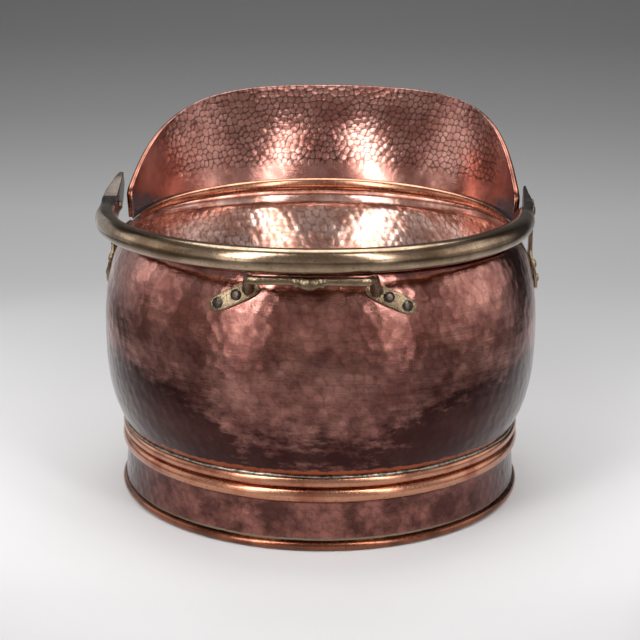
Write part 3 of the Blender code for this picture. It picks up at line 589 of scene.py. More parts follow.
def make_drum():
    outer = [(MOUTH_RADIUS, MOUTH_HEIGHT)] + wall_outline(0.0, 76)
    outer += [(NECK_RADIUS, MOULDING_TOP - 2.0 * SHEET), (NECK_RADIUS, NECK_BOTTOM)]
    inner = [(MOUTH_RADIUS - SHEET, MOUTH_HEIGHT)] + wall_outline(SHEET, 58)
    inner += [(NECK_RADIUS - SHEET, MOULDING_TOP - 2.0 * SHEET), (NECK_RADIUS - SHEET, NECK_BOTTOM)]
    bm = turned_profile(outer + inner[::-1], DRUM_STEPS)
    low = NECK_BOTTOM + 0.012
    high = MOUTH_HEIGHT - COLLAR

    def on_wall(angle, height):
        return at(wall_radius(height), angle, height)

    def rows_of(spacing):
        count = int((high - low) / (0.86 * spacing))
        return [low + (high - low) * i / count for i in range(count + 1)]

    def is_outside(vert):
        return vert.normal.dot(Vector((vert.co.x, vert.co.y, 0.0))) > 0.0

    def fade(vert):
        return clamp((high + 0.002 - vert.co.z) / 0.008)

    around = math.tau * BELLY_RADIUS
    outside = blows_on(on_wall, rows_of(OUTSIDE_BLOW), lambda row: around, OUTSIDE_BLOW, 0.30, 11)
    inside = blows_on(on_wall, rows_of(INSIDE_BLOW), lambda row: around, INSIDE_BLOW, 0.26, 12)
    outer_count = hammer(bm, outside, OUTSIDE_BLOW, OUTSIDE_DEPTH, is_outside, fade)
    inner_count = hammer(bm, inside, INSIDE_BLOW, INSIDE_DEPTH, lambda vert: not is_outside(vert), fade)
    for vert in bm.verts:
        share = clamp((vert.co.z - high) / COLLAR)
        radius = math.hypot(vert.co.x, vert.co.y)
        vert.co.z += share * SEAM_RISE * max(0.0, vert.co.y / radius)
    print("outside:", outer_count, "points hammered by", len(outside), "blows")
    print("inside:", inner_count, "points hammered by", len(inside), "blows")
    return bm


drum = finish_piece("drum", make_drum(), OUTSIDE_COPPER, BODY, "body_shell", flip=False)
second_finish(drum, INSIDE_COPPER, lambda polygon: not faces_outward(polygon))

# %% [markdown]
# The bottom of the drum is a dished disc with an upturned edge. It is only seen from
# above, but its hammer marks run in rings, as a coppersmith works from the middle out.

# %% Bottom disc
DISC_BLOW = 12.0 * MM
DISC_DEPTH = 0.16 * MM
DISC_CORNER = 0.0025


def make_disc():
    outside = NECK_RADIUS - SHEET - GAP
    inner = outside - DISC_CORNER
    bend = FLOOR_HEIGHT + DISC_CORNER
    rim = FLOOR_HEIGHT + FLOOR_RIM
    bottom = [(outside, rim), (outside, bend), (inner, FLOOR_HEIGHT), (GAP, FLOOR_HEIGHT)]
    top = [(GAP, FLOOR_HEIGHT + SHEET), (inner, FLOOR_HEIGHT + SHEET),
           (outside - SHEET, bend), (outside - SHEET, rim)]
    bm = turned_profile(bottom + top, 280, spacing=1.6 * MM)
    rings = [DISC_BLOW * (i + 0.6) for i in range(int(outside / DISC_BLOW) - 1)]

    def on_disc(angle, ring):
        return at(ring, angle, FLOOR_HEIGHT + SHEET)

    places = blows_on(on_disc, rings, lambda ring: math.tau * ring, DISC_BLOW, 0.2, 13)
    hammer(bm, places, DISC_BLOW, DISC_DEPTH, lambda vert: vert.normal.z > 0.5)
    return bm


finish_piece("bottom_disc", make_disc(), INSIDE_COPPER, BODY, "bottom_plate",
             crease=50, flip=False)

# %% [markdown]
# The foot is a band with a swage, a raised half-round ring, rolled near its top. Its
# lower edge is wrapped round a thick wire. The band was planished with a round hammer,
# so its marks are plain circles, and a row of them follows the wire.

# %% Foot band
FOOT_BLOW = 10.0 * MM
FOOT_DEPTH = 0.36 * MM


def half_round(bottom, top, root, crest, count):
    middle = (bottom + top) / 2.0
    half = (top - bottom) / 2.0
    points = []
    for i in range(1, count):
        bend = math.pi * i / count
        points.append((root + (crest - root) * math.sin(bend), middle + half * math.cos(bend)))
    return points


def make_foot_band():
    outer = [(WAIST_RADIUS, MOULDING_BOTTOM - GAP), (WAIST_RADIUS, SWAGE_TOP)]
    outer += half_round(SWAGE_BOTTOM, SWAGE_TOP, WAIST_RADIUS, SWAGE_RADIUS, 14)
    outer += [(WAIST_RADIUS, SWAGE_BOTTOM), (SKIRT_FOOT_RADIUS, 2.0 * FOOT_WIRE_RADIUS + GAP)]
    inner = [(radius - SHEET, height) for radius, height in outer]
    bm = turned_profile(outer + inner[::-1], 500, spacing=1.5 * MM)
    low = 2.0 * FOOT_WIRE_RADIUS + GAP
    high = SWAGE_BOTTOM - 0.001
    rows = [low + 0.004, low + 0.0125, low + 0.0205, high - 0.002]

    def on_band(angle, height):
        share = (height - low) / (SWAGE_BOTTOM - low)
        return at(SKIRT_FOOT_RADIUS + (WAIST_RADIUS - SKIRT_FOOT_RADIUS) * share, angle, height)

    def fade(vert):
        return clamp((high - vert.co.z) / 0.003)

    around = math.tau * WAIST_RADIUS
    places = blows_on(on_band, rows, lambda row: around, FOOT_BLOW, 0.16, 14)
    hammer(bm, places, FOOT_BLOW, FOOT_DEPTH, lambda vert: vert.co.z < SWAGE_BOTTOM, fade)
    return bm


foot_band = finish_piece("foot_band", make_foot_band(), FOOT_COPPER, BODY, "foot_skirt",
                         flip=False)
second_finish(foot_band, MOULDING_COPPER, lambda polygon: SWAGE_BOTTOM < polygon.center.z < SWAGE_TOP)

# %% [markdown]
# Three solid rings follow: the half-round moulding over the foot, the wire in its lower
# edge, and the bead of solder that runs along the top of the moulding. The solder was
# wiped by hand, so its bead swells and thins. A few sine waves with unlike counts do that.

# %% Foot rings
SOLDER_RADIUS = 0.0011
SOLDER_MIDDLE = SEAT_RADIUS + 0.0006
SOLDER_HEIGHT = MOULDING_TOP + 0.0002


def make_moulding():
    inner = NECK_RADIUS + GAP
    outline = [(inner, MOULDING_TOP - 3.0 * SHEET)]
    outline += half_round(MOULDING_BOTTOM, MOULDING_TOP - 2.0 * GAP, SEAT_RADIUS, MOULDING_RADIUS, 12)
    outline += [(inner, MOULDING_BOTTOM)]
    return turned_profile(outline, 360)


def make_foot_wire():
    middle = FOOT_RADIUS - FOOT_WIRE_RADIUS
    outline = []
    for i in range(20):
        bend = math.tau * i / 20
        height = FOOT_WIRE_RADIUS + FOOT_WIRE_RADIUS * math.sin(bend)
        outline.append((middle + FOOT_WIRE_RADIUS * math.cos(bend), height))
    return turned_profile(outline, 360)


def uneven(angle, seed):
    """A wandering value from -1 to 1 round the scuttle."""
    waves = (7, 13, 23, 41)
    return sum(math.sin(count * angle + seed * count) for count in waves) / len(waves)


def make_solder_bead():
    outline = []
    for i in range(8):
        bend = math.tau * i / 8
        outline.append((SOLDER_MIDDLE + SOLDER_RADIUS * math.cos(bend),
                        SOLDER_HEIGHT + SOLDER_RADIUS * math.sin(bend)))
    bm = turned_profile(outline, 480)
    for vert in bm.verts:
        angle = math.atan2(vert.co.x, vert.co.y)
        centre = at(SOLDER_MIDDLE, angle, SOLDER_HEIGHT)
        vert.co = centre + (vert.co - centre) * (0.9 + 0.5 * uneven(angle, 3.0))
        vert.co.z += 0.0004 * uneven(angle, 5.0)
    return bm


finish_piece("foot_top_moulding", make_moulding(), MOULDING_COPPER, BODY, "foot_moulding")
finish_piece("foot_edge_wire", make_foot_wire(), WIRE_COPPER, BODY, "foot_wire")
finish_piece("solder_bead", make_solder_bead(), SOLDER, BODY)

# %% [markdown]
# A bar that follows a path is swept: a circle is made at the first station, and its edge
# is extruded to each next one. Every station has its own size and direction, so one
# helper makes wires, tubes and tapering mouldings.

# %% Sweeping helper


def station(point, along, out, size):
    """A frame whose Z runs along the path and whose X points outward."""
    z = Vector(along).normalized()
    x = (Vector(out) - z * z.dot(Vector(out))).normalized()
    y = z.cross(x)
    matrix = Matrix((x, y, z)).transposed().to_4x4() @ Matrix.Diagonal((size, size, size, 1.0))
    matrix.translation = point
    return matrix


def stations_on(points, outs, sizes):
    frames = []
    for i, point in enumerate(points):
        along = points[min(i + 1, len(points) - 1)] - points[max(i - 1, 0)]
        frames.append(station(point, along, outs[i], sizes[i]))
    return frames


def sweep(bm, frames, sides, section=None):
    """Extrudes a circle, or a section of (x, y) points, through the stations."""
    if section:
        ring = [bm.verts.new((x, y, 0.0)) for x, y in section]
        edges = [bm.edges.new((ring[i], ring[(i + 1) % len(ring)])) for i in range(len(ring))]
        bmesh.ops.transform(bm, matrix=frames[0], verts=ring)
    else:
        ring = bmesh.ops.create_circle(bm, segments=sides, radius=1.0, matrix=frames[0])["verts"]
        edges = list({edge for vert in ring for edge in vert.link_edges})
    ends = [list(ring)]
    for previous, following in zip(frames, frames[1:]):
        fresh = bmesh.ops.extrude_edge_only(bm, edges=edges)["geom"]
        ring = [item for item in fresh if isinstance(item, bmesh.types.BMVert)]
        edges = [item for item in fresh if isinstance(item, bmesh.types.BMEdge)
                 and all(vert in ring for vert in item.verts)]
        bmesh.ops.transform(bm, matrix=following @ previous.inverted(), verts=ring)
    ends.append(list(ring))
    for end in ends:
        rim = list({edge for vert in end for edge in vert.link_edges
                    if all(other in end for other in edge.verts)})
        bmesh.ops.contextual_create(bm, geom=rim)
    bmesh.ops.recalc_face_normals(bm, faces=bm.faces)
    return bm


# %% [markdown]
# The lip is a second sheet, raised into a flaring collar whose level sections are ovals.
# A flat grid is bent into it by a formula, hammered on its hollow side with a small ball
# hammer, and then given its thickness. The blows lie in rows that follow the seam. A band
# above the seam and both lower ends were left smoother.

# %% Lip sheet
LIP_COLUMNS = 430
LIP_ROWS = 106
LIP_BLOW = 6.4 * MM
LIP_DEPTH = 0.13 * MM


def lip_point(angle, height):
    rise = max(0.0, height - seam_height(angle))
    across = MOUTH_RADIUS + LIP_SIDE_FLARE * rise
    along = MOUTH_RADIUS + LIP_FRONT_FLARE * rise + LIP_FRONT_CURL * rise ** 2
    return Vector((across * math.sin(angle), along * math.cos(angle), height))


def lip_normal(angle, height):
    step = SHEET
    turn = step / MOUTH_RADIUS
    along = lip_point(angle + turn, height) - lip_point(angle - turn, height)
    upwards = lip_point(angle, height) - lip_point(angle, height - step)
    return upwards.cross(along).normalized()


def lip_top(angle):
    side = -1 if angle < 0.0 else 1
    crown = (1.0 - abs(angle / LIP_FADE) ** LIP_CROWNS[side]) ** LIP_SWEEPS[side]
    cut = max(0.0, LIP_CORNER - (LIP_END - abs(angle)) * MOUTH_RADIUS)
    drop = LIP_CORNER - math.sqrt(max(0.0, LIP_CORNER ** 2 - cut ** 2))
    return seam_height(angle) + LIP_END_HEIGHT + (LIP_HEIGHT - LIP_END_HEIGHT) * crown - drop


def make_lip():
    bm = bmesh.new()
    bmesh.ops.create_grid(bm, x_segments=LIP_COLUMNS, y_segments=LIP_ROWS, size=1.0)
    for vert in bm.verts:
        angle = vert.co.x * LIP_END
        bottom = seam_height(angle) + GAP
        vert.co = lip_point(angle, bottom + (vert.co.y + 1.0) / 2.0 * (lip_top(angle) - bottom))
    bmesh.ops.recalc_face_normals(bm, faces=bm.faces)
    middle = min(bm.faces, key=lambda face: (face.calc_center_median() - lip_point(0.0, 0.27)).length)
    if middle.normal.y > 0.0:
        bmesh.ops.reverse_faces(bm, faces=bm.faces)
    bm.normal_update()
    rows = [0.0035 + 0.87 * LIP_BLOW * i for i in range(int(LIP_HEIGHT / (0.87 * LIP_BLOW)) + 1)]

    def on_lip(angle, rise):
        angle = max(-LIP_END, min(LIP_END, angle))
        return lip_point(angle, seam_height(angle) + rise)

    def fade(vert):
        angle = math.atan2(vert.co.x, vert.co.y)
        rise = vert.co.z - seam_height(angle)
        above_seam = clamp((rise - 0.008) / 0.014, 0.15)
        from_left = clamp((math.radians(78.0) + angle) / math.radians(22.0), 0.30)
        from_right = clamp((math.radians(80.0) - angle) / math.radians(16.0), 0.35)
        return above_seam * from_left * from_right

    arc = (-LIP_END, LIP_END)
    around = math.tau * (MOUTH_RADIUS + 0.012)
    places = blows_on(on_lip, rows, lambda row: around, LIP_BLOW, 0.34, 15, arc)
    hammer(bm, places, LIP_BLOW, LIP_DEPTH, lambda vert: True, fade)
    bm.normal_update()
    bmesh.ops.solidify(bm, geom=bm.faces[:], thickness=SHEET)
    return bm


lip = finish_piece("lip", make_lip(), LIP_COPPER, BODY, "lip_sheet")
second_finish(lip, OUTSIDE_COPPER, faces_outward)

# %% [markdown]
# The lip's rim and the rear of the mouth are wired on the real scuttle: the copper is
# rolled outward round a wire, so the edge is safe to hold. Here each is one bead outside
# the sheet, swept with a round section.

# %% Wired edges


def make_lip_wire():
    inset = EDGE_WIRE_RADIUS / MOUTH_RADIUS
    climb = [MOUTH_HEIGHT + EDGE_WIRE_RADIUS + LIP_END_HEIGHT * 0.5 * i / 8 for i in range(8)]
    route = [(LIP_END - inset, height) for height in climb]
    for i in range(321):
        angle = LIP_END * math.sin(math.pi / 2.0 * (1.0 - i / 160))
        held = max(inset - LIP_END, min(angle, LIP_END - inset))
        route.append((held, lip_top(angle) - EDGE_WIRE_RADIUS))
    route += [(inset - LIP_END, height) for height in reversed(climb)]
    points = []
    outs = []
    for angle, height in route:
        out = lip_normal(angle, height)
        points.append(lip_point(angle, height) + out * (EDGE_WIRE_RADIUS + GAP))
        outs.append(out)
    return sweep(bmesh.new(), stations_on(points, outs, [LIP_WIRE_RADIUS] * len(points)), 16)


def make_mouth_wire():
    radius = MOUTH_RADIUS + GAP + EDGE_WIRE_RADIUS
    start = LIP_END + GAP / MOUTH_RADIUS
    points = []
    outs = []
    for i in range(161):
        angle = start + (math.tau - 2.0 * start) * i / 160
        outs.append(Vector((math.sin(angle), math.cos(angle), 0.0)))
        points.append(outs[-1] * radius + Vector((0.0, 0.0, MOUTH_HEIGHT - EDGE_WIRE_RADIUS)))
    return sweep(bmesh.new(), stations_on(points, outs, [EDGE_WIRE_RADIUS] * len(points)), 16)


finish_piece("lip_wire", make_lip_wire(), WIRE_COPPER, BODY, "lip_edge_wire", crease=60)
finish_piece("mouth_rim_wire", make_mouth_wire(), WIRE_COPPER, BODY, "mouth_wire", crease=60)

# %% [markdown]
# Inside the seam runs a half-round moulding, broad in the middle and tapering to both
# ends. A half-round section is swept along the seam, each station a little smaller.

# %% Seam moulding


def make_seam():
    inside = SHEET + SEAM_STAND_OFF
    section = [(0.0, -1.0)]
    for i in range(13):
        bend = -math.pi / 2.0 + math.pi * i / 12
        section.append((-SEAM_DEPTH / SEAM_HALF_HEIGHT * math.cos(bend), math.sin(bend)))
    section.append((0.0, 1.0))
    points = []
    outs = []
    sizes = []
    for i in range(181):
        angle = SEAM_END * (2.0 * i / 180 - 1.0)
        size = 1.0 - (1.0 - SEAM_END_SHARE) * abs(angle / SEAM_END) ** 2.0
        out = Vector((math.sin(angle), math.cos(angle), 0.0))
        lean = lip_normal(angle, seam_height(angle) + SEAM_HALF_HEIGHT)
        outs.append((out + lean * 0.35).normalized())
        points.append(out * (MOUTH_RADIUS - inside - GAP) + Vector((0.0, 0.0, seam_height(angle))))
        sizes.append(SEAM_HALF_HEIGHT * size)
    return sweep(bmesh.new(), stations_on(points, outs, sizes), 0, section[1:-1])


finish_piece("seam_half_round", make_seam(), MOULDING_COPPER, BODY, "seam_moulding",
             crease=60)

# %% [markdown]
# The bail is a brass tube bent to half an oval. Its finish is smoother and brighter than
# that of the castings. It rides on the bail body and turns with it.

# %% Bail tube
BAIL_RADIUS = 0.0088
BAIL_HALF_WIDTH = 0.1674
BAIL_SHIFT = -0.0040
BAIL_REACH = 0.2135
BAIL_STRAIGHT = 0.0200
PIVOT_HEIGHT = 0.2315
TUBE_START = 0.0440


def make_bail():
    arch = BAIL_REACH - BAIL_STRAIGHT
    first = math.asin((TUBE_START - BAIL_STRAIGHT) / arch)
    points = []
    for i in range(201):
        bend = first + (math.pi - 2.0 * first) * i / 200
        x = BAIL_SHIFT - BAIL_HALF_WIDTH * math.cos(bend)
        points.append(Vector((x, -BAIL_STRAIGHT - arch * math.sin(bend), PIVOT_HEIGHT)))
    up = [Vector((0.0, 0.0, 1.0))] * len(points)
    return sweep(bmesh.new(), stations_on(points, up, [BAIL_RADIUS] * len(points)), 36)


finish_piece("bail_bar", make_bail(), BAIL_BRASS, BAIL, "bail_tube", crease=60)

# %% [markdown]
# The castings are the two ears, the tipping handle and the leaf ends of the bail. A
# casting has no sharp corners, because the sand of its mould wears round. So each one is
# remeshed into small even faces and smoothed. The ears and the handle start from a merged
# copy of their CAD solids, and the leaf ends are drawn afresh in the next step.

# %% Casting helper
MERGE_DISTANCE = 0.00002
EAR_VOXEL = 0.00045
HANDLE_VOXEL = 0.00050


def copy_of(node):
    bm = bmesh.new()
    bm.from_mesh(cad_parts[node].data)
    bmesh.ops.remove_doubles(bm, verts=bm.verts, dist=MERGE_DISTANCE)
    return bm


def casting(name, node, rough_bm, voxel, smoothing, material, body, cutters=()):
    rough = mesh_object(name + "_rough", rough_bm)
    for cutter in cutters:
        cut = rough.modifiers.new("cut", "BOOLEAN")
        cut.operation = "DIFFERENCE"
        cut.solver = "EXACT"
        cut.object = cutter
    remesh = rough.modifiers.new("even_faces", "REMESH")
    remesh.mode = "VOXEL"
    remesh.voxel_size = voxel
    smooth = rough.modifiers.new("worn_corners", "SMOOTH")
    smooth.factor = 0.5
    smooth.iterations = smoothing
    graph = bpy.context.evaluated_depsgraph_get()
    result = bpy.data.meshes.new_from_object(rough.evaluated_get(graph))
    for spent in (rough, *cutters):
        bpy.data.objects.remove(spent, do_unlink=True)
    bm = bmesh.new()
    bm.from_mesh(result)
    bpy.data.meshes.remove(result)
    return finish_piece(name, bm, material, body, node, flip=False)


for side in ("left", "right"):
    casting("ear_plate_" + side, "ear_" + side, copy_of("ear_" + side), EAR_VOXEL, 3, CAST_BRASS, BODY)
casting("tipping_handle", "rear_handle", copy_of("rear_handle"), HANDLE_VOXEL, 5, CAST_BRASS, BODY)

# %% [markdown]
# Each end of the bail is a casting brazed into the tube: round at the tube, then flat
# inside where it lies along the lip, and swelling outside up to a raised point. A smooth
# curve through a few drawn sections gives its faces. A round recess takes the ear's eye,
# and the lower edge stays thin, so that the ear's neck passes it when the bail is up.

# %% Bail ends
EYE_RADIUS = 0.0095
EAR_FACES = {-1: 0.1760, 1: 0.1722}
LEAF_FACES = {-1: 0.1688, 1: 0.1670}
LEAF_LEANS = {-1: 0.0014, 1: 0.0032}
LEAF_WIDTHS = {-1: 0.0118, 1: 0.0066}
LEAF_RISES = {-1: 0.0245, 1: 0.0170}
LEAF_REACH = 0.0300
LEAF_BACK_SHARE = 0.14
LEAF_SWELL_POWER = 1.2
LEAF_SHOULDER = 0.0084
LEAF_POINTS = 36
LEAF_STEPS = 72
LEAF_VOXEL = 0.00040
BORE_RADIUS = 0.0033
BORE_ENDS = (0.160, 0.190)
RECESS_RADIUS = EYE_RADIUS + 0.0010
RECESS_DEPTH = 0.012
# Top edge along the reach and up the rise, lower edge along the reach, down the tube's
# radius and up the rise, then the share of the width and of the lean
LEAF_ROWS = ((-0.36, 0.05, -0.36, 0.97, 0.00, 1.00, 0.00),
             (-0.12, 0.26, -0.10, 0.93, 0.00, 0.95, 0.00),
             (0.10, 0.44, 0.18, 0.80, 0.00, 0.84, 0.03),
             (0.32, 0.62, 0.42, 0.50, 0.00, 0.68, 0.14),
             (0.54, 0.79, 0.66, 0.02, 0.00, 0.56, 0.30),
             (0.72, 0.91, 0.86, 0.00, 0.26, 0.42, 0.55),
             (0.86, 1.00, 1.00, 0.00, 0.58, 0.27, 0.80))
BLEND_SHARES = (0.0, 0.3, 0.6, 0.85)


def leaf_point(side, row, share):
    top_reach, top_rise, back_reach, back_drop, back_rise, width, lean = row
    top = (top_reach * LEAF_REACH, LEAF_SHOULDER + top_rise * (LEAF_RISES[side] - LEAF_SHOULDER))
    back = (back_reach * LEAF_REACH, back_rise * LEAF_RISES[side] - back_drop * BAIL_RADIUS)
    if share < 0.25:
        across, up = 0.0, 1.0 - share / 0.25
    elif share < 0.75:
        up = (share - 0.25) / 0.5
        across = LEAF_BACK_SHARE + (1.0 - LEAF_BACK_SHARE) * up ** LEAF_SWELL_POWER
    else:
        across, up = 1.0 - (share - 0.75) / 0.25, 1.0
    x = LEAF_FACES[side] + lean * LEAF_LEANS[side] + width * LEAF_WIDTHS[side] * across
    y = back[0] + (top[0] - back[0]) * up
    z = back[1] + (top[1] - back[1]) * up
    return Vector((side * x, y, PIVOT_HEIGHT + z))


def leaf_sections(side, share):
    """One line of points along the casting, from the tube's end to the leaf's point."""
    arch = BAIL_REACH - BAIL_STRAIGHT
    first = math.asin((TUBE_START - BAIL_STRAIGHT) / arch)
    start = Vector((BAIL_SHIFT + side * BAIL_HALF_WIDTH * math.cos(first), -TUBE_START, PIVOT_HEIGHT))
    out = Vector((side * arch * math.cos(first), -BAIL_HALF_WIDTH * math.sin(first), 0.0)).normalized()
    leaf = leaf_point(side, LEAF_ROWS[0], share)
    middle = Vector((side * BAIL_HALF_WIDTH + BAIL_SHIFT, leaf.y, PIVOT_HEIGHT))
    bend = math.tau * (0.375 + share)
    line = []
    for blend in BLEND_SHARES:
        centre = start.lerp(middle, blend)
        facing = out.lerp(Vector((side, 0.0, 0.0)), blend).normalized()
        circle = centre + (facing * math.cos(bend) + Vector((0.0, 0.0, math.sin(bend)))) * BAIL_RADIUS
        level = Vector((leaf.x + centre.x - middle.x, centre.y, leaf.z))
        line.append(circle.lerp(level, blend * blend * (3.0 - 2.0 * blend)))
    return line + [leaf_point(side, row, share) for row in LEAF_ROWS]


def along_curve(points, share):
    """Point on a smooth curve that passes through all the points."""
    place = share * (len(points) - 1)
    i = min(int(place), len(points) - 2)
    part = place - i
    before, near, far, after = (points[min(max(i + step, 0), len(points) - 1)] for step in (-1, 0, 1, 2))
    bent = near * 2.0 + (far - before) * part
    bent += (before * 2.0 - near * 5.0 + far * 4.0 - after) * part ** 2
    bent += (near * 3.0 - before - far * 3.0 + after) * part ** 3
    return bent * 0.5


def make_leaf(side):
    bm = bmesh.new()
    bmesh.ops.create_grid(bm, x_segments=LEAF_POINTS, y_segments=LEAF_STEPS, size=0.5)
    lines = {}
    for vert in bm.verts:
        share = round(vert.co.x + 0.5, 6) % 1.0
        if share not in lines:
            lines[share] = leaf_sections(side, share)
        vert.co = along_curve(lines[share], vert.co.y + 0.5)
    bmesh.ops.remove_doubles(bm, verts=bm.verts, dist=0.00001)
    bmesh.ops.holes_fill(bm, edges=bm.edges, sides=0)
    bmesh.ops.recalc_face_normals(bm, faces=bm.faces)
    return bm


def pivot_cylinder(name, radius, start, end):
    bm = bmesh.new()
    place = Matrix.Translation(((start + end) / 2.0, 0.0, PIVOT_HEIGHT))
    matrix = place @ Matrix.Rotation(math.pi / 2.0, 4, "Y")
    bmesh.ops.create_cone(bm, cap_ends=True, segments=48, radius1=radius, radius2=radius,
                          depth=abs(end - start), matrix=matrix)
    return mesh_object(name, bm)


for side, word in ((-1, "left"), (1, "right")):
    face = EAR_FACES[side] - GAP
    bore = pivot_cylinder("bore", BORE_RADIUS, side * BORE_ENDS[0], side * BORE_ENDS[1])
    recess = pivot_cylinder("recess", RECESS_RADIUS, side * face, side * (face + RECESS_DEPTH))
    # The leaf ends take the darker brass, which is painted shade.
    casting("leaf_end_" + word, "bail_leaf_" + word, make_leaf(side), LEAF_VOXEL, 8, DARK_BRASS_PAINTED_SHADE, BAIL,
            (bore, recess))

# %% [markdown]
# Rivets, burrs and pivot pins are small and turned already in the CAD model, so they
# keep their shapes and only get their finish.

# %% Small fasteners
for name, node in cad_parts.items():
    if "_rivet_" in name or "_burr_" in name or name.startswith("pivot_pin"):
        finish = INSIDE_COPPER if "_burr_" in name else CAST_BRASS
        if name.startswith("handle_") and "_rivet_" in name:
            finish = DARK_BRASS_PAINTED_SHADE
        node.data.materials.clear()
        node.data.materials.append(finish)
print("fasteners finished")

# %% [markdown]
# The floor is a pale sweep that curves up behind the scuttle, as in a photographer's
# studio. It darkens with height, from near white underfoot to a middle grey above. In
# front of the scuttle and beyond both sides of the first camera's picture it fades to a
# dark, glossier floor, which the lower half of the drum mirrors. That fade is laid out in
# the room's own metres, so from other sides it shows as a darker floor.

# %% Floor and backdrop
SWEEP_BACK = 1.6
SWEEP_BEND = 0.9
SWEEP_TOP = 2.6
SWEEP_HALF_WIDTH = 4.0
PICTURE_HALF_WIDTH = 0.297
PICTURE_SPREAD = 0.32
PICTURE_FRONT = -0.305


def make_backdrop():
    bm = bmesh.new()
    route = [(-3.0, 0.0), (SWEEP_BACK - SWEEP_BEND, 0.0)]
    for i in range(1, 24):
        bend = math.pi / 2.0 * i / 24
        route.append((SWEEP_BACK - SWEEP_BEND + SWEEP_BEND * math.sin(bend),
                      SWEEP_BEND * (1.0 - math.cos(bend))))
    route.append((SWEEP_BACK, SWEEP_BEND))
    route.append((SWEEP_BACK, SWEEP_TOP))
    verts = [bm.verts.new((-SWEEP_HALF_WIDTH, y, z)) for y, z in route]
    edges = [bm.edges.new(pair) for pair in zip(verts, verts[1:])]
    fresh = bmesh.ops.extrude_edge_only(bm, edges=edges)["geom"]
    far = [item for item in fresh if isinstance(item, bmesh.types.BMVert)]
    bmesh.ops.translate(bm, vec=(2.0 * SWEEP_HALF_WIDTH, 0.0, 0.0), verts=far)
    bmesh.ops.recalc_face_normals(bm, faces=bm.faces)
    backdrop = mesh_object("backdrop", bm)
    backdrop.data.shade_smooth()
    return backdrop


def backdrop_paper():
    material, tree, shader, place = new_material("studio_paper")
    split = add(tree, "ShaderNodeSeparateXYZ", inputs={"Vector": place}).outputs
    behind = add(tree, "ShaderNodeMapRange", inputs={
        "Value": split["Y"], "From Min": -0.2, "From Max": 1.5}).outputs["Result"]
    colour = ramp(tree, behind, (0.0, linear("E8E8E8")), (0.35, linear("C0C0C0")),
                  (0.8, linear("929292")), (1.0, linear("7C7C7C")))
    fall_off = ramp(tree, height_share(tree, place, 0.0, 0.5),
                    (0.1, 0.92), (0.37, 0.60), (0.64, 0.38), (0.9, 0.31))
    colour = blend_colours(tree, 1.0, colour, fall_off, "MULTIPLY")
    aside = add(tree, "ShaderNodeMath", {"operation": "ABSOLUTE"}, {0: split["X"]}).outputs[0]
    half_width = add(tree, "ShaderNodeMath", {"operation": "MULTIPLY_ADD"},
                     {0: split["Y"], 1: PICTURE_SPREAD, 2: PICTURE_HALF_WIDTH}).outputs[0]
    subtract = {"operation": "SUBTRACT"}
    beyond = add(tree, "ShaderNodeMath", subtract, {0: aside, 1: half_width}).outputs[0]
    before = add(tree, "ShaderNodeMath", subtract, {0: PICTURE_FRONT, 1: split["Y"]}).outputs[0]
    # In front the floor darkens with distance from the scuttle: a painted fall-off of the light round it.
    distance = add(tree, "ShaderNodeVectorMath", {"operation": "DISTANCE"},
                   {0: place, 1: (0.0, 0.06, 0.0)}).outputs["Value"]
    corner = add(tree, "ShaderNodeMapRange", inputs={
        "Value": distance, "From Min": 0.27, "From Max": 0.50}).outputs["Result"]
    in_front = add(tree, "ShaderNodeMapRange", inputs={
        "Value": split["Y"], "From Min": -0.05, "From Max": -0.25}).outputs["Result"]
    painted_front_shade = ramp(tree, product(tree, corner, in_front), (0.0, 1.0), (1.0, 0.56))
    colour = blend_colours(tree, 1.0, colour, painted_front_shade, "MULTIPLY")
    pool = grey(1.0)
    for outside, fade, left in ((beyond, 0.36, 0.12), (before, 0.30, 0.62)):
        share = add(tree, "ShaderNodeMapRange", inputs={
            "Value": outside, "From Min": 0.0, "From Max": fade}).outputs["Result"]
        pool = blend_colours(tree, 1.0, pool, ramp(tree, share, (0.0, 1.0), (1.0, left)), "MULTIPLY")
    colour = blend_colours(tree, 1.0, colour, pool, "MULTIPLY")
    feed(tree, shader, {"Base Color": colour, "Roughness": ramp(tree, pool, (0.1, 0.16), (0.6, 0.9)),
                        "Metallic": 0.0, "Specular IOR Level": 1.0})
    return material


backdrop = make_backdrop()
backdrop.data.materials.append(backdrop_paper())

# %% [markdown]
# Copper and brass show what they reflect. Two tall strips of soft light lean over from
# either side of the camera and draw the two upright highlights on the drum, each with a
# dimmer strip below it that carries the highlight down. A board and a large reflector on
# each side send back a little light, and a broad lamp overhead lights the floor and the
# lip's hollow. The world is a dim studio, darkest near the ground.

# %% Lights


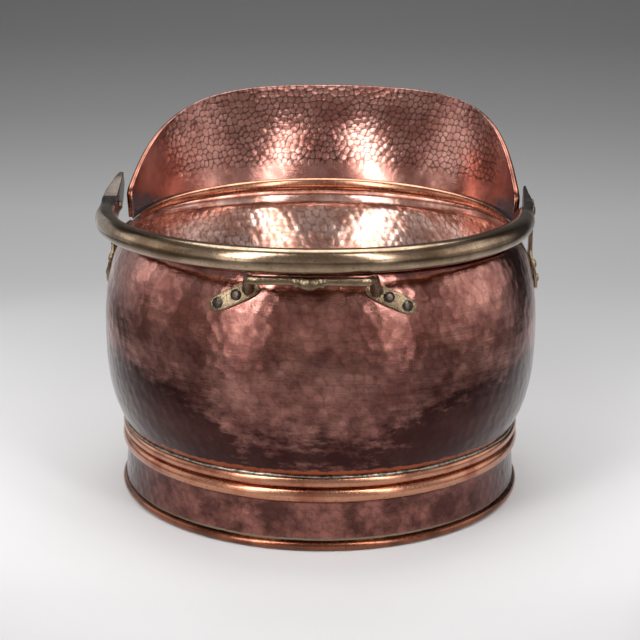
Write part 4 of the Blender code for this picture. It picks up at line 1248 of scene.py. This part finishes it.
def soft_box(name, place, aim, size, power):
    data = bpy.data.lights.new(name, "AREA")
    data.shape = "RECTANGLE"
    data.size = size[0]
    data.size_y = size[1]
    data.energy = power
    lamp = bpy.data.objects.new(name, data)
    lamp.location = place
    lamp.rotation_euler = (Vector(aim) - Vector(place)).to_track_quat("-Z", "Y").to_euler()
    bpy.context.scene.collection.objects.link(lamp)
    return lamp


LEAN = (0.0, 0.0, 0.45)
FOOT_AIM = (0.0, 0.0, 0.20)
soft_box("left_soft_box", (-0.652, -0.888, 1.17), LEAN, (0.36, 1.35), 13.5)
soft_box("left_soft_box_foot", (-0.790, -1.076, 0.27), FOOT_AIM, (0.36, 0.54), 1.0)
soft_box("right_soft_box", (0.674, -0.873, 1.17), LEAN, (0.20, 1.35), 8.5)
soft_box("right_soft_box_foot", (0.817, -1.057, 0.27), FOOT_AIM, (0.20, 0.54), 0.60)
soft_box("right_board", (0.66, -0.03, 0.28), (0.0, 0.0, 0.28), (0.62, 0.42), 0.24)
soft_box("right_reflector", (1.75, 0.15, 0.85), (0.0, 0.0, 0.30), (1.5, 1.1), 3.0)
soft_box("left_board", (-0.62, 0.34, 0.27), (-0.10, 0.0, 0.27), (0.62, 0.40), 0.35)
soft_box("left_reflector", (-1.55, 0.15, 0.80), (0.0, 0.0, 0.30), (1.3, 1.0), 2.6)
soft_box("overhead_soft_box", (0.0, 0.9, 2.4), (0.0, 0.1, 0.0), (2.4, 1.4), 45.0)

world = bpy.data.worlds.new("studio")
bpy.context.scene.world = world
world.use_nodes = True
sky = world.node_tree
direction = sky.nodes.new("ShaderNodeTexCoord").outputs["Generated"]
rise = add(sky, "ShaderNodeSeparateXYZ", inputs={"Vector": direction}).outputs["Z"]
level = add(sky, "ShaderNodeMapRange", inputs={
    "Value": rise, "From Min": -1.0, "From Max": 1.0}).outputs["Result"]
room = ramp(sky, level, (0.42, linear("5A524E")), (0.51, linear("CCC2BC")),
            (0.66, linear("B2ACAC")), (0.86, linear("8C888A")))
feed(sky, sky.nodes["Background"], {"Color": room, "Strength": 0.9})
bpy.context.scene.view_settings.view_transform = "Standard"
print("lights set")

# %% Sizes and finish
print("triangles in all:", sum(TRIANGLES.values()))
